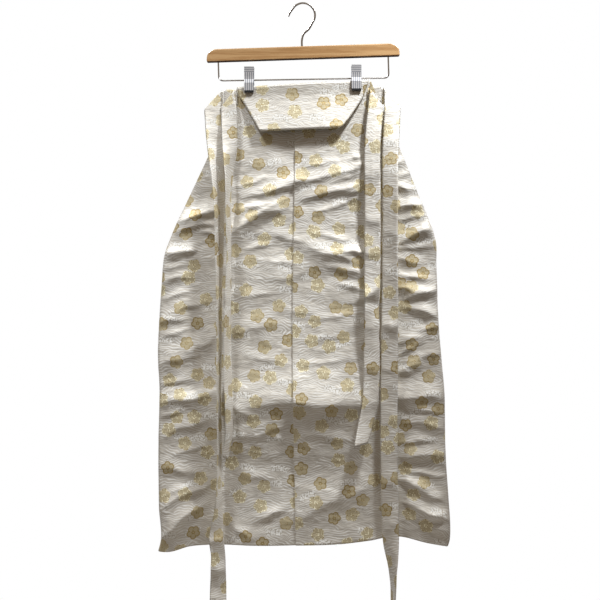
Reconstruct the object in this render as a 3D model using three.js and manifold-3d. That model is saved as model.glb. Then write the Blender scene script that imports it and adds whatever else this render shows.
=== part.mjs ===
// Hakama trousers hung from a wooden clip hanger, seen with the back of the garment towards -Y.
// Millimetres, +Z up, +X to the right of someone facing the back board.
// The origin is the inside top of the hanger's hook.
import * as THREE from 'three';
import Module from 'manifold-3d';
import { mergeVertices } from 'three/addons/utils/BufferGeometryUtils.js';

// ---------------------------------------------------------------- driving dimensions

const SEAM_GAP = 0.3;            // between two pieces that are sewn or pressed together
const CLOTH = 1.2;               // brocade with its facing
const PLY = CLOTH + SEAM_GAP;    // from one folded layer to the next
const TIE_THICK = 1.8;           // a tie is cloth folded in four
const BAND_THICK = 2.6;          // the stiffened front waistband
const BAND_HEIGHT = 31;
const BAND_HALF = 145;           // the band's end, from the middle
const BOARD_THICK = 4.5;         // the back board, covered
const BOARD_LEAN = 11;           // how far the board's lower edge stands off the cloth
const HEM_Z = -994;
const SLIT_Z = -455;             // where the side slit ends and the side seam begins
const CROTCH_Z = -560;
const LAP_SEAM = 10.4;           // the centre seam's place under the lap, right panel's end
const LAP_SEAM_LEFT = 8.6;       // the left panel's end, inside it

const BAR = { length: 355, height: 23, depth: 14, corner: 20, x: 1, z: -90.3, tilt: 1.87 };
const HOOK_WIRE = 1.8;           // radius
const ROD_WIRE = 1.4;            // radius
const ROD = { half: 156.5, left: -141.5, right: -136, corner: 8 };
const CLIP = { width: 18, above: 24, below: 23.6, pad: 3.3, plate: 1.6, arm: 9.5 };
const CLIPS = [{ name: 'left', x: -98.1 }, { name: 'right', x: 99.1 }];

// ---------------------------------------------------------------- small mathematics

const lerp = THREE.MathUtils.lerp;
const rad = THREE.MathUtils.degToRad;
const clamp = THREE.MathUtils.clamp;

function ease(value, start, end) {
  const t = clamp((value - start) / (end - start), 0, 1);
  return t * t * (3 - 2 * t);
}

// A smooth curve through a table's rows: key column first, in rising or falling order.
function along(table, column, key, at) {
  const last = table.length - 1;
  const falling = table[0][key] > table[last][key];
  let i = 0;
  while (i < last - 1 && (falling ? at < table[i + 1][key] : at > table[i + 1][key])) i += 1;
  const [a, b] = [table[i], table[i + 1]];
  const before = table[Math.max(i - 1, 0)];
  const after = table[Math.min(i + 2, last)];
  const span = b[key] - a[key];
  const t = clamp((at - a[key]) / span, 0, 1);
  const slopeA = i === 0 ? (b[column] - a[column]) / span
    : (b[column] - before[column]) / (b[key] - before[key]);
  const slopeB = i === last - 1 ? (b[column] - a[column]) / span
    : (after[column] - a[column]) / (after[key] - a[key]);
  const t2 = t * t;
  const t3 = t2 * t;
  return (2 * t3 - 3 * t2 + 1) * a[column] + (t3 - 2 * t2 + t) * span * slopeA
    + (3 * t2 - 2 * t3) * b[column] + (t3 - t2) * span * slopeB;
}

const straight = (x, x1, z1, x2, z2) => lerp(z1, z2, (x - x1) / (x2 - x1));

// ---------------------------------------------------------------- the garment's outlines

// Outer edge of each back panel: the slit's straight edge, then the side seam to the hem.
const EDGE_LEFT = [
  { z: -147, x: -120.5 }, { z: -265, x: -169 }, { z: -360, x: -211 }, { z: -455, x: -251 },
  { z: -517, x: -258.5 }, { z: -599, x: -264 }, { z: -645, x: -265.5 }, { z: -715, x: -262.5 },
  { z: -801, x: -264.5 }, { z: -915, x: -263.5 }, { z: -970, x: -259 }, { z: -1000, x: -266 },
];
const EDGE_RIGHT = [
  { z: -147, x: 125 }, { z: -267, x: 176 }, { z: -350, x: 210 }, { z: -435, x: 244 },
  { z: -480, x: 246 }, { z: -575, x: 249 }, { z: -645, x: 254.5 }, { z: -715, x: 260.5 },
  { z: -821, x: 262.5 }, { z: -938, x: 270 }, { z: -980, x: 270.5 }, { z: -998, x: 266 },
];
const HEM = [
  { x: -268, z: -1004 }, { x: -241, z: -1005 }, { x: -204, z: -995 }, { x: -148, z: -992 },
  { x: -94, z: -994 }, { x: -17, z: -994 }, { x: 65, z: -991.5 }, { x: 121, z: -985 },
  { x: 173, z: -977 }, { x: 229, z: -989.5 }, { x: 268, z: -996 },
];
// The centre pleat's visible edge.
const LAP = [{ z: -147, x: -14 }, { z: -300, x: -14 }, { z: -600, x: -18 }, { z: -1000, x: -12 }];
// How far the back and the front stand off the middle plane.
const STAND = [
  { z: -147, back: 1.2, front: 1.2 }, { z: -168, back: 1.2, front: 1.2 },
  { z: -196, back: 2.4, front: 1.2 },
  { z: -237, back: 5, front: 3 }, { z: -300, back: 8.5, front: 6 },
  { z: -455, back: 12.5, front: 10 }, { z: -560, back: 14.5, front: 11 },
  { z: -731, back: 16, front: 12 }, { z: -1010, back: 18, front: 13.5 },
];
// The largest folds of the back, from (x1, z1) to (x2, z2), each a ridge or, if negative, a trough.
const FOLDS = [
  { x1: -114, z1: -385, x2: -36, z2: -374, width: 13, height: -4 },
  { x1: -129, z1: -408, x2: -60, z2: -384, width: 12, height: 3 },
  { x1: -122, z1: -428, x2: -40, z2: -404, width: 13, height: -4 },
  { x1: 30, z1: -325, x2: 112, z2: -296, width: 12, height: 3.5 },
  { x1: 40, z1: -440, x2: 96, z2: -470, width: 13, height: -3 },
  { x1: -230, z1: -712, x2: 235, z2: -716, width: 17, height: 4.5 },
  { x1: -235, z1: -752, x2: 240, z2: -750, width: 20, height: -4.5 },
  { x1: -166, z1: -395, x2: -232, z2: -445, width: 20, height: -5 },
  { x1: -190, z1: -480, x2: -222, z2: -620, width: 20, height: 4 },
  { x1: -214, z1: -607, x2: -162, z2: -741, width: 18, height: -4 },
  { x1: -186, z1: -900, x2: -240, z2: -935, width: 16, height: 4 },
  { x1: 186, z1: -433, x2: 235, z2: -415, width: 17, height: -4.5 },
  { x1: 190, z1: -530, x2: 236, z2: -527, width: 14, height: 4 },
  { x1: 196, z1: -575, x2: 240, z2: -582, width: 14, height: -4 },
  { x1: 190, z1: -835, x2: 245, z2: -832, width: 14, height: 4 },
  { x1: 190, z1: -905, x2: 250, z2: -940, width: 16, height: -4 },
  { x1: -110, z1: -955, x2: -50, z2: -935, width: 15, height: -3.5 },
  { x1: 40, z1: -900, x2: 110, z2: -915, width: 17, height: 3.5 },
];

const slitOpen = (z) => ease(z, SLIT_Z, SLIT_Z + 110);
const topLine = (x) => straight(x, -121.7, -153.4, 122.8, -139.8);
const lapX = (z) => along(LAP, 'x', 'z', z);

function fold(x, z) {
  let sum = 0;
  for (const f of FOLDS) {
    const [dx, dz] = [f.x2 - f.x1, f.z2 - f.z1];
    const t = ((x - f.x1) * dx + (z - f.z1) * dz) / (dx * dx + dz * dz);
    const near = clamp(t, 0, 1);
    const away = Math.hypot(x - f.x1 - near * dx, z - f.z1 - near * dz) / f.width;
    if (away < 3) sum += f.height * Math.exp(-away * away);
  }
  return sum;
}

// The pinched waist is thicker in the middle, where the pleats are stacked.
const WAIST_STACK = { back: { from: 22, to: 86 }, front: { from: 56, to: 89 } };

function stand(face, x, z) {
  const middle = 1 - ease(Math.abs(x), WAIST_STACK[face].from, WAIST_STACK[face].to);
  const waist = ease(z, -275, -200);
  return along(STAND, face, 'z', z) + 2 * PLY * middle * waist;
}

// Height of a point of a row: rows slope with the waist at the top and with the hem below.
function rowHeight(level, x) {
  const t = (level - HEM_Z) / (-147 - HEM_Z);
  const waist = (topLine(x) - 1 + 147) * ease(t, 0.6, 1);
  const hem = (along(HEM, 'z', 'x', x) - HEM_Z) * ease(t, 0.16, 0);
  return level + waist + hem;
}

// ---------------------------------------------------------------- lofting

function solid(positions, indices) {
  const geometry = new THREE.BufferGeometry();
  geometry.setAttribute('position', new THREE.Float32BufferAttribute(positions, 3));
  geometry.setIndex(indices);
  let volume = 0;
  const [a, b, c] = [new THREE.Vector3(), new THREE.Vector3(), new THREE.Vector3()];
  for (let i = 0; i < indices.length; i += 3) {
    [a, b, c].forEach((v, k) => v.fromArray(positions, 3 * indices[i + k]));
    volume += a.dot(b.cross(c));
  }
  if (volume < 0) {
    for (let i = 0; i < indices.length; i += 3) {
      [indices[i], indices[i + 1]] = [indices[i + 1], indices[i]];
    }
    geometry.setIndex(indices);
  }
  geometry.computeVertexNormals();
  return geometry;
}

// Rings of equal length, joined one to the next. A flat ring is a wall's outline: its first
// half runs out along one side and its second half comes back along the other.
function loft(rings, flat) {
  const size = rings[0].length;
  const positions = rings.flat(2);
  const indices = [];
  const quad = (a, b, c, d) => indices.push(a, b, c, a, c, d);
  for (let j = 0; j < rings.length - 1; j += 1) {
    for (let i = 0; i < size; i += 1) {
      const next = (i + 1) % size;
      quad(j * size + i, j * size + next, (j + 1) * size + next, (j + 1) * size + i);
    }
  }
  const end = (rings.length - 1) * size;
  for (let i = 0; i < (flat ? size / 2 - 1 : size - 2); i += 1) {
    if (flat) {
      quad(i, size - 1 - i, size - 2 - i, i + 1);
      quad(end + i, end + i + 1, end + size - 2 - i, end + size - 1 - i);
    } else {
      indices.push(0, i + 2, i + 1, end, end + i + 1, end + i + 2);
    }
  }
  return solid(positions, indices);
}

// A ring round a row of points [x, y, z], thick in the x-y plane.
function wallRing(row, thickness) {
  const half = thickness / 2;
  const [front, back] = [[], []];
  row.forEach((p, i) => {
    const before = row[Math.max(i - 1, 0)];
    const after = row[Math.min(i + 1, row.length - 1)];
    const inward = new THREE.Vector2(p[0] - before[0], p[1] - before[1]);
    const outward = new THREE.Vector2(after[0] - p[0], after[1] - p[1]);
    if (i === 0) inward.copy(outward);
    if (i === row.length - 1) outward.copy(inward);
    inward.normalize();
    outward.normalize();
    const middle = inward.clone().add(outward).normalize();
    const reach = half / Math.max(middle.dot(inward), 0.5);
    front.push([p[0] - middle.y * reach, p[1] + middle.x * reach, p[2]]);
    back.push([p[0] + middle.y * reach, p[1] - middle.x * reach, p[2]]);
  });
  return front.concat(back.reverse());
}

const wall = (rows, thickness) => loft(rows.map((row) => wallRing(row, thickness)), true);

// ---------------------------------------------------------------- the panels

// Points [u, depth] of a turn of the cloth from one ply to the next; u is measured outwards from
// the middle, facing is -1 where the turn bulges towards the middle and +1 where away from it.
function turn(edge, depth, facing) {
  const r = PLY / 2;
  return [-90, -30, 30, 90].map((angle) => [
    edge - facing * r + facing * r * Math.cos(rad(angle)),
    depth + r + r * Math.sin(rad(angle)),
  ]);
}

// Points [u, depth] from the side edge inwards, up to the first fold. The last 5 mm close the
// side seam, and lie flat where the slit is open.
function sideEdge(edge, standing, open) {
  const deep = (standing - SEAM_GAP / 2) * (1 - open);
  return [
    [edge, deep],
    [edge - 3 * open, deep * 0.55],
    [edge - 1.2 - 5 * open, deep * 0.2],
    [edge - 5 - 4 * open, deep * 0.03],
  ];
}

// The centre lap. The right panel is folded under, the left one passes beneath it.
function lapPoints(side, z) {
  const edge = lapX(z);
  if (side > 0) return [...turn(edge, 0, -1), [LAP_SEAM, PLY]];
  return [[10 - edge, 0], [2.5 - edge, 2 * PLY], [-LAP_SEAM_LEFT, 2 * PLY]];
}

const PANEL_LEVELS = 25;
const BACK_COLUMNS = 13;

function backPanel(side) {
  const rows = [];
  for (let j = 0; j <= PANEL_LEVELS; j += 1) {
    const level = lerp(-147, HEM_Z, j / PANEL_LEVELS);
    const edge = side * along(side < 0 ? EDGE_LEFT : EDGE_RIGHT, 'x', 'z', level);
    const outer = sideEdge(edge, stand('back', side * edge, level), slitOpen(level));
    const inner = lapPoints(side, level);
    const [from, to] = [outer[3][0] - 6, inner[0][0] + 8];
    const quiet = side > 0 ? LAP_SEAM + 4 : to;
    const columns = [];
    for (let i = 0; i < BACK_COLUMNS; i += 1) {
      const u = lerp(from, to, i / (BACK_COLUMNS - 1));
      const calm = ease(u, quiet, quiet + 20) * ease(u, edge, edge - 30);
      columns.push([u, -calm * fold(side * u, level)]);
    }
    rows.push([...outer, ...columns, ...inner].map(([u, depth]) => {
      const x = side * u;
      const z = rowHeight(level, x);
      return [x, depth - stand('back', x, z), z];
    }));
  }
  return wall(rows, CLOTH);
}

// Knife pleats of the front, from the middle outwards, at the waist and at the hem.
const PLEATS_RIGHT = [{ waist: 22, hem: 62 }, { waist: 38, hem: 118 }];
const PLEATS_LEFT = [{ waist: 30, hem: 64 }, { waist: 46, hem: 120 }];
const PLEAT_DEPTH = { waist: 8, hem: 40 };
const PLEAT_RISE = { waist: 5, hem: 12 };
const FRONT_LEVELS = [
  -156, -196, -238, -290, -345, -400, -455, -520, -600, -690, -780, -860, -920, -960, HEM_Z,
];

function pleatPoints(pleat, t) {
  const edge = lerp(pleat.waist, pleat.hem, t);
  const depth = lerp(PLEAT_DEPTH.waist, PLEAT_DEPTH.hem, t);
  const rise = lerp(PLEAT_RISE.waist, PLEAT_RISE.hem, t);
  return [...turn(edge, 0, -1), ...turn(edge + depth, PLY, 1), [edge - 1, 2 * PLY],
    [edge - 1 - rise, 0]];
}

function frontPanel(side) {
  const pleats = side > 0 ? PLEATS_RIGHT : PLEATS_LEFT;
  const rows = [];
  for (const level of FRONT_LEVELS) {
    const tuck = 3 * ease(level, SLIT_Z, SLIT_Z + 60);
    const edge = side * along(side < 0 ? EDGE_LEFT : EDGE_RIGHT, 'x', 'z', level) - tuck;
    const outer = sideEdge(edge, stand('front', side * edge, level), slitOpen(level));
    const t = (level - FRONT_LEVELS[0]) / (HEM_Z - FRONT_LEVELS[0]);
    const pleated = [...pleats].reverse().flatMap((pleat) => pleatPoints(pleat, t));
    const [from, to] = [outer[3][0] - 8, pleated[0][0] + 8];
    const columns = Array.from({ length: 7 }, (_, i) => [lerp(from, to, i / 6), 0]);
    rows.push([...outer, ...columns, ...pleated, ...lapPoints(side, level)].map(([u, depth]) => {
      const x = side * u;
      const z = rowHeight(level, x);
      return [x, stand('front', x, z) - depth, z];
    }));
  }
  return wall(rows, CLOTH);
}

// Each leg's inner width of cloth, from the centre seams down to the hem.
function innerLeg(side) {
  const x = side > 0 ? LAP_SEAM - 1 : LAP_SEAM_LEFT - CLOTH / 2;
  const depth = side > 0 ? PLY : 2 * PLY;
  const inset = depth + CLOTH / 2 + SEAM_GAP;
  const rows = [];
  for (let j = 0; j <= 12; j += 1) {
    const z = rowHeight(lerp(CROTCH_Z, HEM_Z, j / 12), x);
    const from = inset - stand('back', x, z);
    const to = stand('front', x, z) - inset;
    rows.push([0, 0.5, 1].map((s) => [x, lerp(from, to, s), z]));
  }
  return wall(rows, CLOTH);
}

// ---------------------------------------------------------------- back board and waistband

const BOARD = [
  { v: 0, left: -120.3, right: 122.8 }, { v: 0.12, left: -119.2, right: 119.5 },
  { v: 0.25, left: -115.5, right: 115.3 },
  { v: 0.36, left: -108.5, right: 111.5 }, { v: 0.6, left: -97, right: 98 },
  { v: 0.93, left: -81.5, right: 76 }, { v: 1, left: -78, right: 66 },
];
const boardBottom = (x) => straight(x, -78, -237, 65, -231);

function boardPoint(x, v) {
  const z = lerp(topLine(x), boardBottom(x), v);
  const cloth = stand('back', x, z) + (CLOTH + BOARD_THICK) / 2 + 2 * SEAM_GAP;
  return [x, -cloth - BOARD_LEAN * Math.max(0, (v - 0.25) / 0.75) ** 1.2, z];
}

function backBoard() {
  const rows = BOARD.map((row) => {
    const points = [];
    for (let i = 0; i <= 14; i += 1) points.push(boardPoint(lerp(row.left, row.right, i / 14), row.v));
    return points;
  });
  return wall(rows, BOARD_THICK);
}

const BAND_COLUMNS = 40;
const bandTop = (x) => straight(x, -BAND_HALF, -157, BAND_HALF, -150);
const bandY = (x, z) => stand('front', x, z) + (CLOTH + BAND_THICK) / 2 + 2 * SEAM_GAP;

function waistband() {
  const rows = [0, 1].map((v) => {
    const points = [];
    for (let i = 0; i <= BAND_COLUMNS; i += 1) {
      const x = lerp(-BAND_HALF, BAND_HALF, i / BAND_COLUMNS);
      const z = bandTop(x) - v * BAND_HEIGHT;
      points.push([x, bandY(x, z), z]);
    }
    return points;
  });
  return wall(rows, BAND_THICK);
}

// ---------------------------------------------------------------- ties

// A flat strip leaves its root, folds over on a slanting line towards -Y, then hangs along a
// route. The route's turn is the strip's angle about the vertical: 0 faces -Y, 90 is edge on.
function tie({ side, root, heading, fall, width, reach, shear, radius, spread, route }) {
  const going = new THREE.Vector2(side * Math.cos(rad(heading)), Math.sin(rad(heading)));
  const falling = new THREE.Vector2(side * Math.cos(rad(fall)), Math.sin(rad(fall)));
  const across = new THREE.Vector2(-side * going.y, side * going.x);
  const axis = going.clone().add(falling).normalize();
  const beyond = new THREE.Vector2(-side * axis.y, side * axis.x);
  const slope = across.dot(beyond) / going.dot(beyond);
  const pivot = new THREE.Vector2(root.x, root.z).addScaledVector(going, reach);
  const stations = [];

  // One line across the strip, from its lower or inner edge to its upper or outer one.
  const crossing = (place) => [-1, 1].map((hand) => {
    const v = hand * width / 2;
    const p = going.clone().multiplyScalar(place(v)).addScaledVector(across, v);
    const d = p.dot(beyond);
    const bend = clamp(d / radius, 0, Math.PI);
    const past = Math.max(0, d - Math.PI * radius);
    const inPlane = Math.min(d, 0) + radius * Math.sin(bend) - past;
    const flat = axis.clone().multiplyScalar(p.dot(axis)).addScaledVector(beyond, inPlane).add(pivot);
    const y = root.y - radius * (1 - Math.cos(bend)) - spread * past;
    const tilt = Math.atan(spread) * (past > 0 ? 1 : 0);
    const normal = [Math.sin(bend) * beyond.x - tilt * beyond.x, -Math.cos(bend),
      Math.sin(bend) * beyond.y - tilt * beyond.y];
    return { point: [flat.x, y, flat.y], normal };
  });
  stations.push(crossing((v) => -reach - shear * v));
  for (let k = 0; k <= 4; k += 1) {
    stations.push(crossing((v) => (k / 4) * Math.PI * radius / going.dot(beyond) - slope * v));
  }
  const skew = Math.abs(slope) * width / 2;
  const clear = skew + Math.PI * radius / going.dot(beyond) + 4;
  stations.push(crossing((v) => clear - 2 - 0.4 * (skew + slope * v)));
  const first = crossing(() => clear);
  stations.push(first);

  const middle = [0, 1, 2].map((k) => (first[0].point[k] + first[1].point[k]) / 2);
  const rows = [{ z: middle[2], x: middle[0], y: middle[1],
    turn: THREE.MathUtils.radToDeg(Math.asin(clamp((first[1].point[1] - first[0].point[1])
      * Math.sign(first[1].point[0] - first[0].point[0]) / width, -1, 1))) }, ...route];
  const swap = first[1].point[0] < first[0].point[0] ? -1 : 1;
  const end = rows[rows.length - 1];
  const steps = Math.ceil((rows[0].z - end.z) / 17);
  for (let k = 1; k <= steps; k += 1) {
    const z = lerp(rows[0].z, end.z, k / steps);
    const [x, y, angle] = ['x', 'y', 'turn'].map((column) => along(rows, column, 'z', z));
    const cut = k === steps ? end.cut : 0;
    const settle = ease(k, 0, 3);
    stations.push([-1, 1].map((hand) => {
      const v = swap * hand * width / 2;
      const sag = (first[(hand + 1) / 2].point[2] - middle[2]) * (1 - settle);
      return {
        point: [x + v * Math.cos(rad(angle)), y + v * Math.sin(rad(angle)), z + sag + cut * v],
        normal: [-Math.sin(rad(angle)), Math.cos(rad(angle)), 0],
      };
    }));
  }

  return loft(stations.map(([a, b]) => {
    const corner = (edge, hand) => {
      const n = new THREE.Vector3(...edge.normal).normalize().multiplyScalar(hand * TIE_THICK / 2);
      return [edge.point[0] + n.x, edge.point[1] + n.y, edge.point[2] + n.z];
    };
    return [corner(a, 1), corner(b, 1), corner(b, -1), corner(a, -1)];
  }), false);
}

// How a tie leaves its root and folds over: angles in the x-z plane, then the fold's own sizes.
const BACK_TIE = {
  heading: -8, fall: -97, width: 29.6, reach: 14.1, shear: 0.05, radius: 1.6, spread: 0.25,
};
const FRONT_TIE = {
  heading: -5, fall: -90, width: 31, reach: 16.2, shear: 0.087, radius: 1.7, spread: 0.3,
};
const boardSide = -(1.2 + (CLOTH + BOARD_THICK) / 2 + 2 * SEAM_GAP);
const bandSide = 1.2 + (CLOTH + BAND_THICK) / 2 + 2 * SEAM_GAP;

const TIES = {
  back_tie_right: {
    ...BACK_TIE, side: 1, root: { x: 119, y: boardSide, z: -171 },
    route: [
      { z: -262, x: 127.5, y: -21, turn: 0 }, { z: -340, x: 127.5, y: -24, turn: 0 },
      { z: -500, x: 127, y: -27, turn: 4 }, { z: -560, x: 126, y: -29, turn: 22 },
      { z: -620, x: 126, y: -29, turn: 8 }, { z: -727, x: 123, y: -29, turn: 8 },
      { z: -808, x: 106, y: -31, turn: 35, cut: 0.24 },
    ],
  },
  back_tie_left: {
    ...BACK_TIE, side: -1, root: { x: -120.3, y: boardSide - 1.1, z: -173 },
    route: [
      { z: -255, x: -133, y: -22, turn: 16 }, { z: -300, x: -133, y: -29, turn: 52 },
      { z: -345, x: -134.5, y: -33, turn: 70 }, { z: -480, x: -134, y: -35, turn: 76 },
      { z: -560, x: -136, y: -35, turn: 68 }, { z: -660, x: -136, y: -35, turn: 62 },
      { z: -780, x: -133, y: -36, turn: 66 }, { z: -832, x: -141, y: -36, turn: 66, cut: -0.24 },
    ],
  },
  front_tie_right: {
    ...FRONT_TIE, side: 1, root: { x: BAND_HALF + 0.4, y: bandSide, z: -168.5 },
    route: [
      { z: -275, x: 160.5, y: -17, turn: -10 }, { z: -345, x: 159.5, y: -27, turn: -24 },
      { z: -480, x: 159, y: -31, turn: -26 }, { z: -600, x: 158.5, y: -33, turn: -12 },
      { z: -800, x: 157, y: -33, turn: -10 }, { z: -970, x: 160, y: -33, turn: -16 },
      { z: -1040, x: 164, y: -33, turn: -60 }, { z: -1142, x: 165, y: -33, turn: -78, cut: 0 },
    ],
  },
  front_tie_left: {
    ...FRONT_TIE, side: -1, root: { x: -BAND_HALF - 0.4, y: bandSide, z: -174.5 },
    route: [
      { z: -275, x: -158.5, y: -19, turn: 20 }, { z: -350, x: -152, y: -30, turn: 48 },
      { z: -450, x: -151, y: -35, turn: 62 }, { z: -580, x: -151.5, y: -37, turn: 74 },
      { z: -900, x: -151.5, y: -37, turn: 74 }, { z: -975, x: -156, y: -35, turn: 38 },
      { z: -1010, x: -153, y: -35, turn: 36 }, { z: -1070, x: -153, y: -34, turn: 20 },
      { z: -1148, x: -154, y: -34, turn: 10, cut: 0 },
    ],
  },
};

// ---------------------------------------------------------------- hanger

const wasm = await Module();
wasm.setup();

function manifold(geometry) {
  const bare = geometry.index ? geometry.clone() : mergeVertices(stripped(geometry));
  return new wasm.Manifold(new wasm.Mesh({
    numProp: 3,
    vertProperties: new Float32Array(bare.attributes.position.array),
    triVerts: new Uint32Array(bare.index.array),
  }));
}

function stripped(geometry) {
  const bare = geometry.clone();
  bare.deleteAttribute('normal');
  bare.deleteAttribute('uv');
  return bare;
}

function fromManifold(body) {
  const mesh = body.getMesh();
  const geometry = new THREE.BufferGeometry();
  geometry.setAttribute('position', new THREE.Float32BufferAttribute(mesh.vertProperties, 3));
  geometry.setIndex(Array.from(mesh.triVerts));
  geometry.computeVertexNormals();
  return geometry;
}

// A bar with softened ends, bored upwards for the rod and downwards for the hook's stem.
function bar() {
  const { length, height, depth, corner } = BAR;
  const [hx, hz] = [length / 2, height / 2];
  const shape = new THREE.Shape();
  shape.moveTo(-hx + 3, -hz);
  shape.lineTo(hx - 3, -hz);
  shape.quadraticCurveTo(hx, -hz, hx, -hz + 3);
  shape.quadraticCurveTo(hx, hz, hx - corner, hz);
  shape.lineTo(-hx + corner, hz);
  shape.quadraticCurveTo(-hx, hz, -hx, -hz + 3);
  shape.quadraticCurveTo(-hx, -hz, -hx + 3, -hz);
  const blank = new THREE.ExtrudeGeometry(shape, {
    depth: depth - 3, bevelEnabled: true, bevelSize: 1.5, bevelThickness: 1.5, bevelOffset: -1.5,
    bevelSegments: 2, curveSegments: 7,
  });
  blank.translate(0, 0, -(depth - 3) / 2);
  blank.rotateX(Math.PI / 2);
  const drill = (radius, x, from, to) => {
    const bit = new THREE.CylinderGeometry(radius, radius, to - from, 12);
    bit.rotateX(Math.PI / 2);
    bit.translate(x, 0, (from + to) / 2);
    return manifold(mergeVertices(stripped(bit)));
  };
  const cut = manifold(mergeVertices(stripped(blank)))
    .subtract(drill(ROD_WIRE + SEAM_GAP, -ROD.half, -hz - 1, 3))
    .subtract(drill(ROD_WIRE + SEAM_GAP, ROD.half, -hz - 1, 3))
    .subtract(drill(HOOK_WIRE + 0.6, STEM_X - BAR.x, -6, hz + 1));
  return fromManifold(cut);
}

// A round wire along a path in the x-z plane.
function wire(path, radius, sides) {
  const rings = path.map((p, i) => {
    const before = path[Math.max(i - 1, 0)];
    const after = path[Math.min(i + 1, path.length - 1)];
    const tangent = new THREE.Vector2(after[0] - before[0], after[1] - before[1]).normalize();
    return Array.from({ length: sides }, (_, k) => {
      const angle = 2 * Math.PI * k / sides;
      const out = radius * Math.cos(angle);
      return [p[0] - tangent.y * out, radius * Math.sin(angle), p[1] + tangent.x * out];
    });
  });
  return loft(rings, false);
}

const STEM_X = -0.9;
const HOOK_ARC = { x: 0.9, z: -20.4, radius: 22.2, from: 150, to: -38 };

function hookPath() {
  const arc = Array.from({ length: 12 }, (_, i) => {
    const angle = rad(lerp(HOOK_ARC.from, HOOK_ARC.to, i / 11));
    return new THREE.Vector3(HOOK_ARC.x + HOOK_ARC.radius * Math.cos(angle), 0,
      HOOK_ARC.z + HOOK_ARC.radius * Math.sin(angle));
  });
  const bend = [[11.3, -46.6], [2.6, -54.6], [STEM_X, -65]].map(([x, z]) => new THREE.Vector3(x, 0, z));
  const tip = [[-26.2, -22.6], [-23.2, -16]].map(([x, z]) => new THREE.Vector3(x, 0, z));
  const curve = new THREE.CatmullRomCurve3([...tip, ...arc, ...bend,
    new THREE.Vector3(STEM_X, 0, -82), new THREE.Vector3(STEM_X, 0, -94)], false, 'centripetal');
  return curve.getSpacedPoints(52).map((p) => [p.x, p.z]);
}

// The rod in the bar's own frame: down from one end, across, and up into the other.
function rodPath() {
  const toBar = (z) => z - BAR.z;
  const slope = Math.tan(rad(BAR.tilt));
  const left = toBar(ROD.left) + slope * ROD.half;
  const right = toBar(ROD.right) - slope * ROD.half;
  const corner = (x, z, start) => Array.from({ length: 5 }, (_, i) => {
    const angle = rad(start + 90 * i / 4);
    return [x + ROD.corner * Math.cos(angle), z + ROD.corner * Math.sin(angle)];
  });
  return [[-ROD.half, 0], ...corner(-ROD.half + ROD.corner, left + ROD.corner, 180),
    ...corner(ROD.half - ROD.corner, right + ROD.corner, 270), [ROD.half, 0]];
}

// A sprung clip in section: two plates joined by a web with a bore for the rod.
const JAW_FRONT = -(1.2 + CLOTH / 2 + 2 * SEAM_GAP + BOARD_THICK + SEAM_GAP);
const JAW_REAR = 1.2 + CLOTH / 2 + 2 * SEAM_GAP + BAND_THICK + SEAM_GAP;
const PAD_THICK = 2.4;
const WEB_FOOT = -3.4;

function clip() {
  const { width, above, below, pad, plate, arm } = CLIP;
  const front = JAW_FRONT - PAD_THICK;
  const rear = JAW_REAR + PAD_THICK;
  const tip = -below + pad + SEAM_GAP;
  const shape = new THREE.Shape([
    [front, tip], [front, WEB_FOOT], [rear, WEB_FOOT], [rear, tip],
    [rear + plate, tip], [rear + plate, -6], [rear - 1, 1], [rear - 1, 6], [arm, above],
    [arm - plate, above], [rear - 3.4, 5], [front + 3.4, 5], [-arm + plate, above], [-arm, above],
    [front + 1, 6], [front + 1, 1], [front - plate, -6], [front - plate, tip],
  ].map(([y, z]) => new THREE.Vector2(y, z)));
  const bore = new THREE.Path();
  bore.absarc(0, 0, ROD_WIRE + 2 * SEAM_GAP, 0, 2 * Math.PI, true);
  shape.holes.push(bore);
  return plateAlongX(shape, width);
}

function plateAlongX(shape, width) {
  const geometry = new THREE.ExtrudeGeometry(shape, { depth: width, bevelEnabled: false, curveSegments: 5 });
  geometry.translate(0, 0, -width / 2);
  geometry.rotateX(Math.PI / 2);
  geometry.rotateZ(Math.PI / 2);
  return geometry;
}

// A rubber pad on a jaw's end, seen from the side.
function padBlock(face, back) {
  const foot = -CLIP.below;
  const shape = new THREE.Shape([
    [face, foot + 0.6], [face + Math.sign(back - face) * 0.6, foot], [back, foot],
    [back, foot + CLIP.pad], [face, foot + CLIP.pad],
  ].map(([y, z]) => new THREE.Vector2(y, z)));
  return plateAlongX(shape, CLIP.width - 1);
}

// ---------------------------------------------------------------- the model

const fabric = () => new THREE.MeshStandardMaterial({ color: 0xe6dfd2, roughness: 0.5, metalness: 0 });
const wood = () => new THREE.MeshStandardMaterial({ color: 0xc48a52, roughness: 0.45, metalness: 0 });
const steel = () => new THREE.MeshStandardMaterial({ color: 0xb8b4b0, roughness: 0.25, metalness: 1 });
const chrome = () => new THREE.MeshStandardMaterial({ color: 0xd8dade, roughness: 0.15, metalness: 1 });
const rubber = () => new THREE.MeshStandardMaterial({ color: 0x151515, roughness: 0.8, metalness: 0 });

const group = new THREE.Group();

function add(parent, name, geometry, material) {
  const mesh = new THREE.Mesh(geometry, material);
  mesh.name = name;
  parent.add(mesh);
  return mesh;
}

add(group, 'hanger_hook', wire(hookPath(), HOOK_WIRE, 10), steel());
const barFrame = new THREE.Group();
barFrame.position.set(BAR.x, 0, BAR.z);
barFrame.rotation.y = rad(-BAR.tilt);
group.add(barFrame);
add(barFrame, 'hanger_bar', bar(), wood());
add(barFrame, 'hanger_rod', wire(rodPath(), ROD_WIRE, 8), steel());

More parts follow.
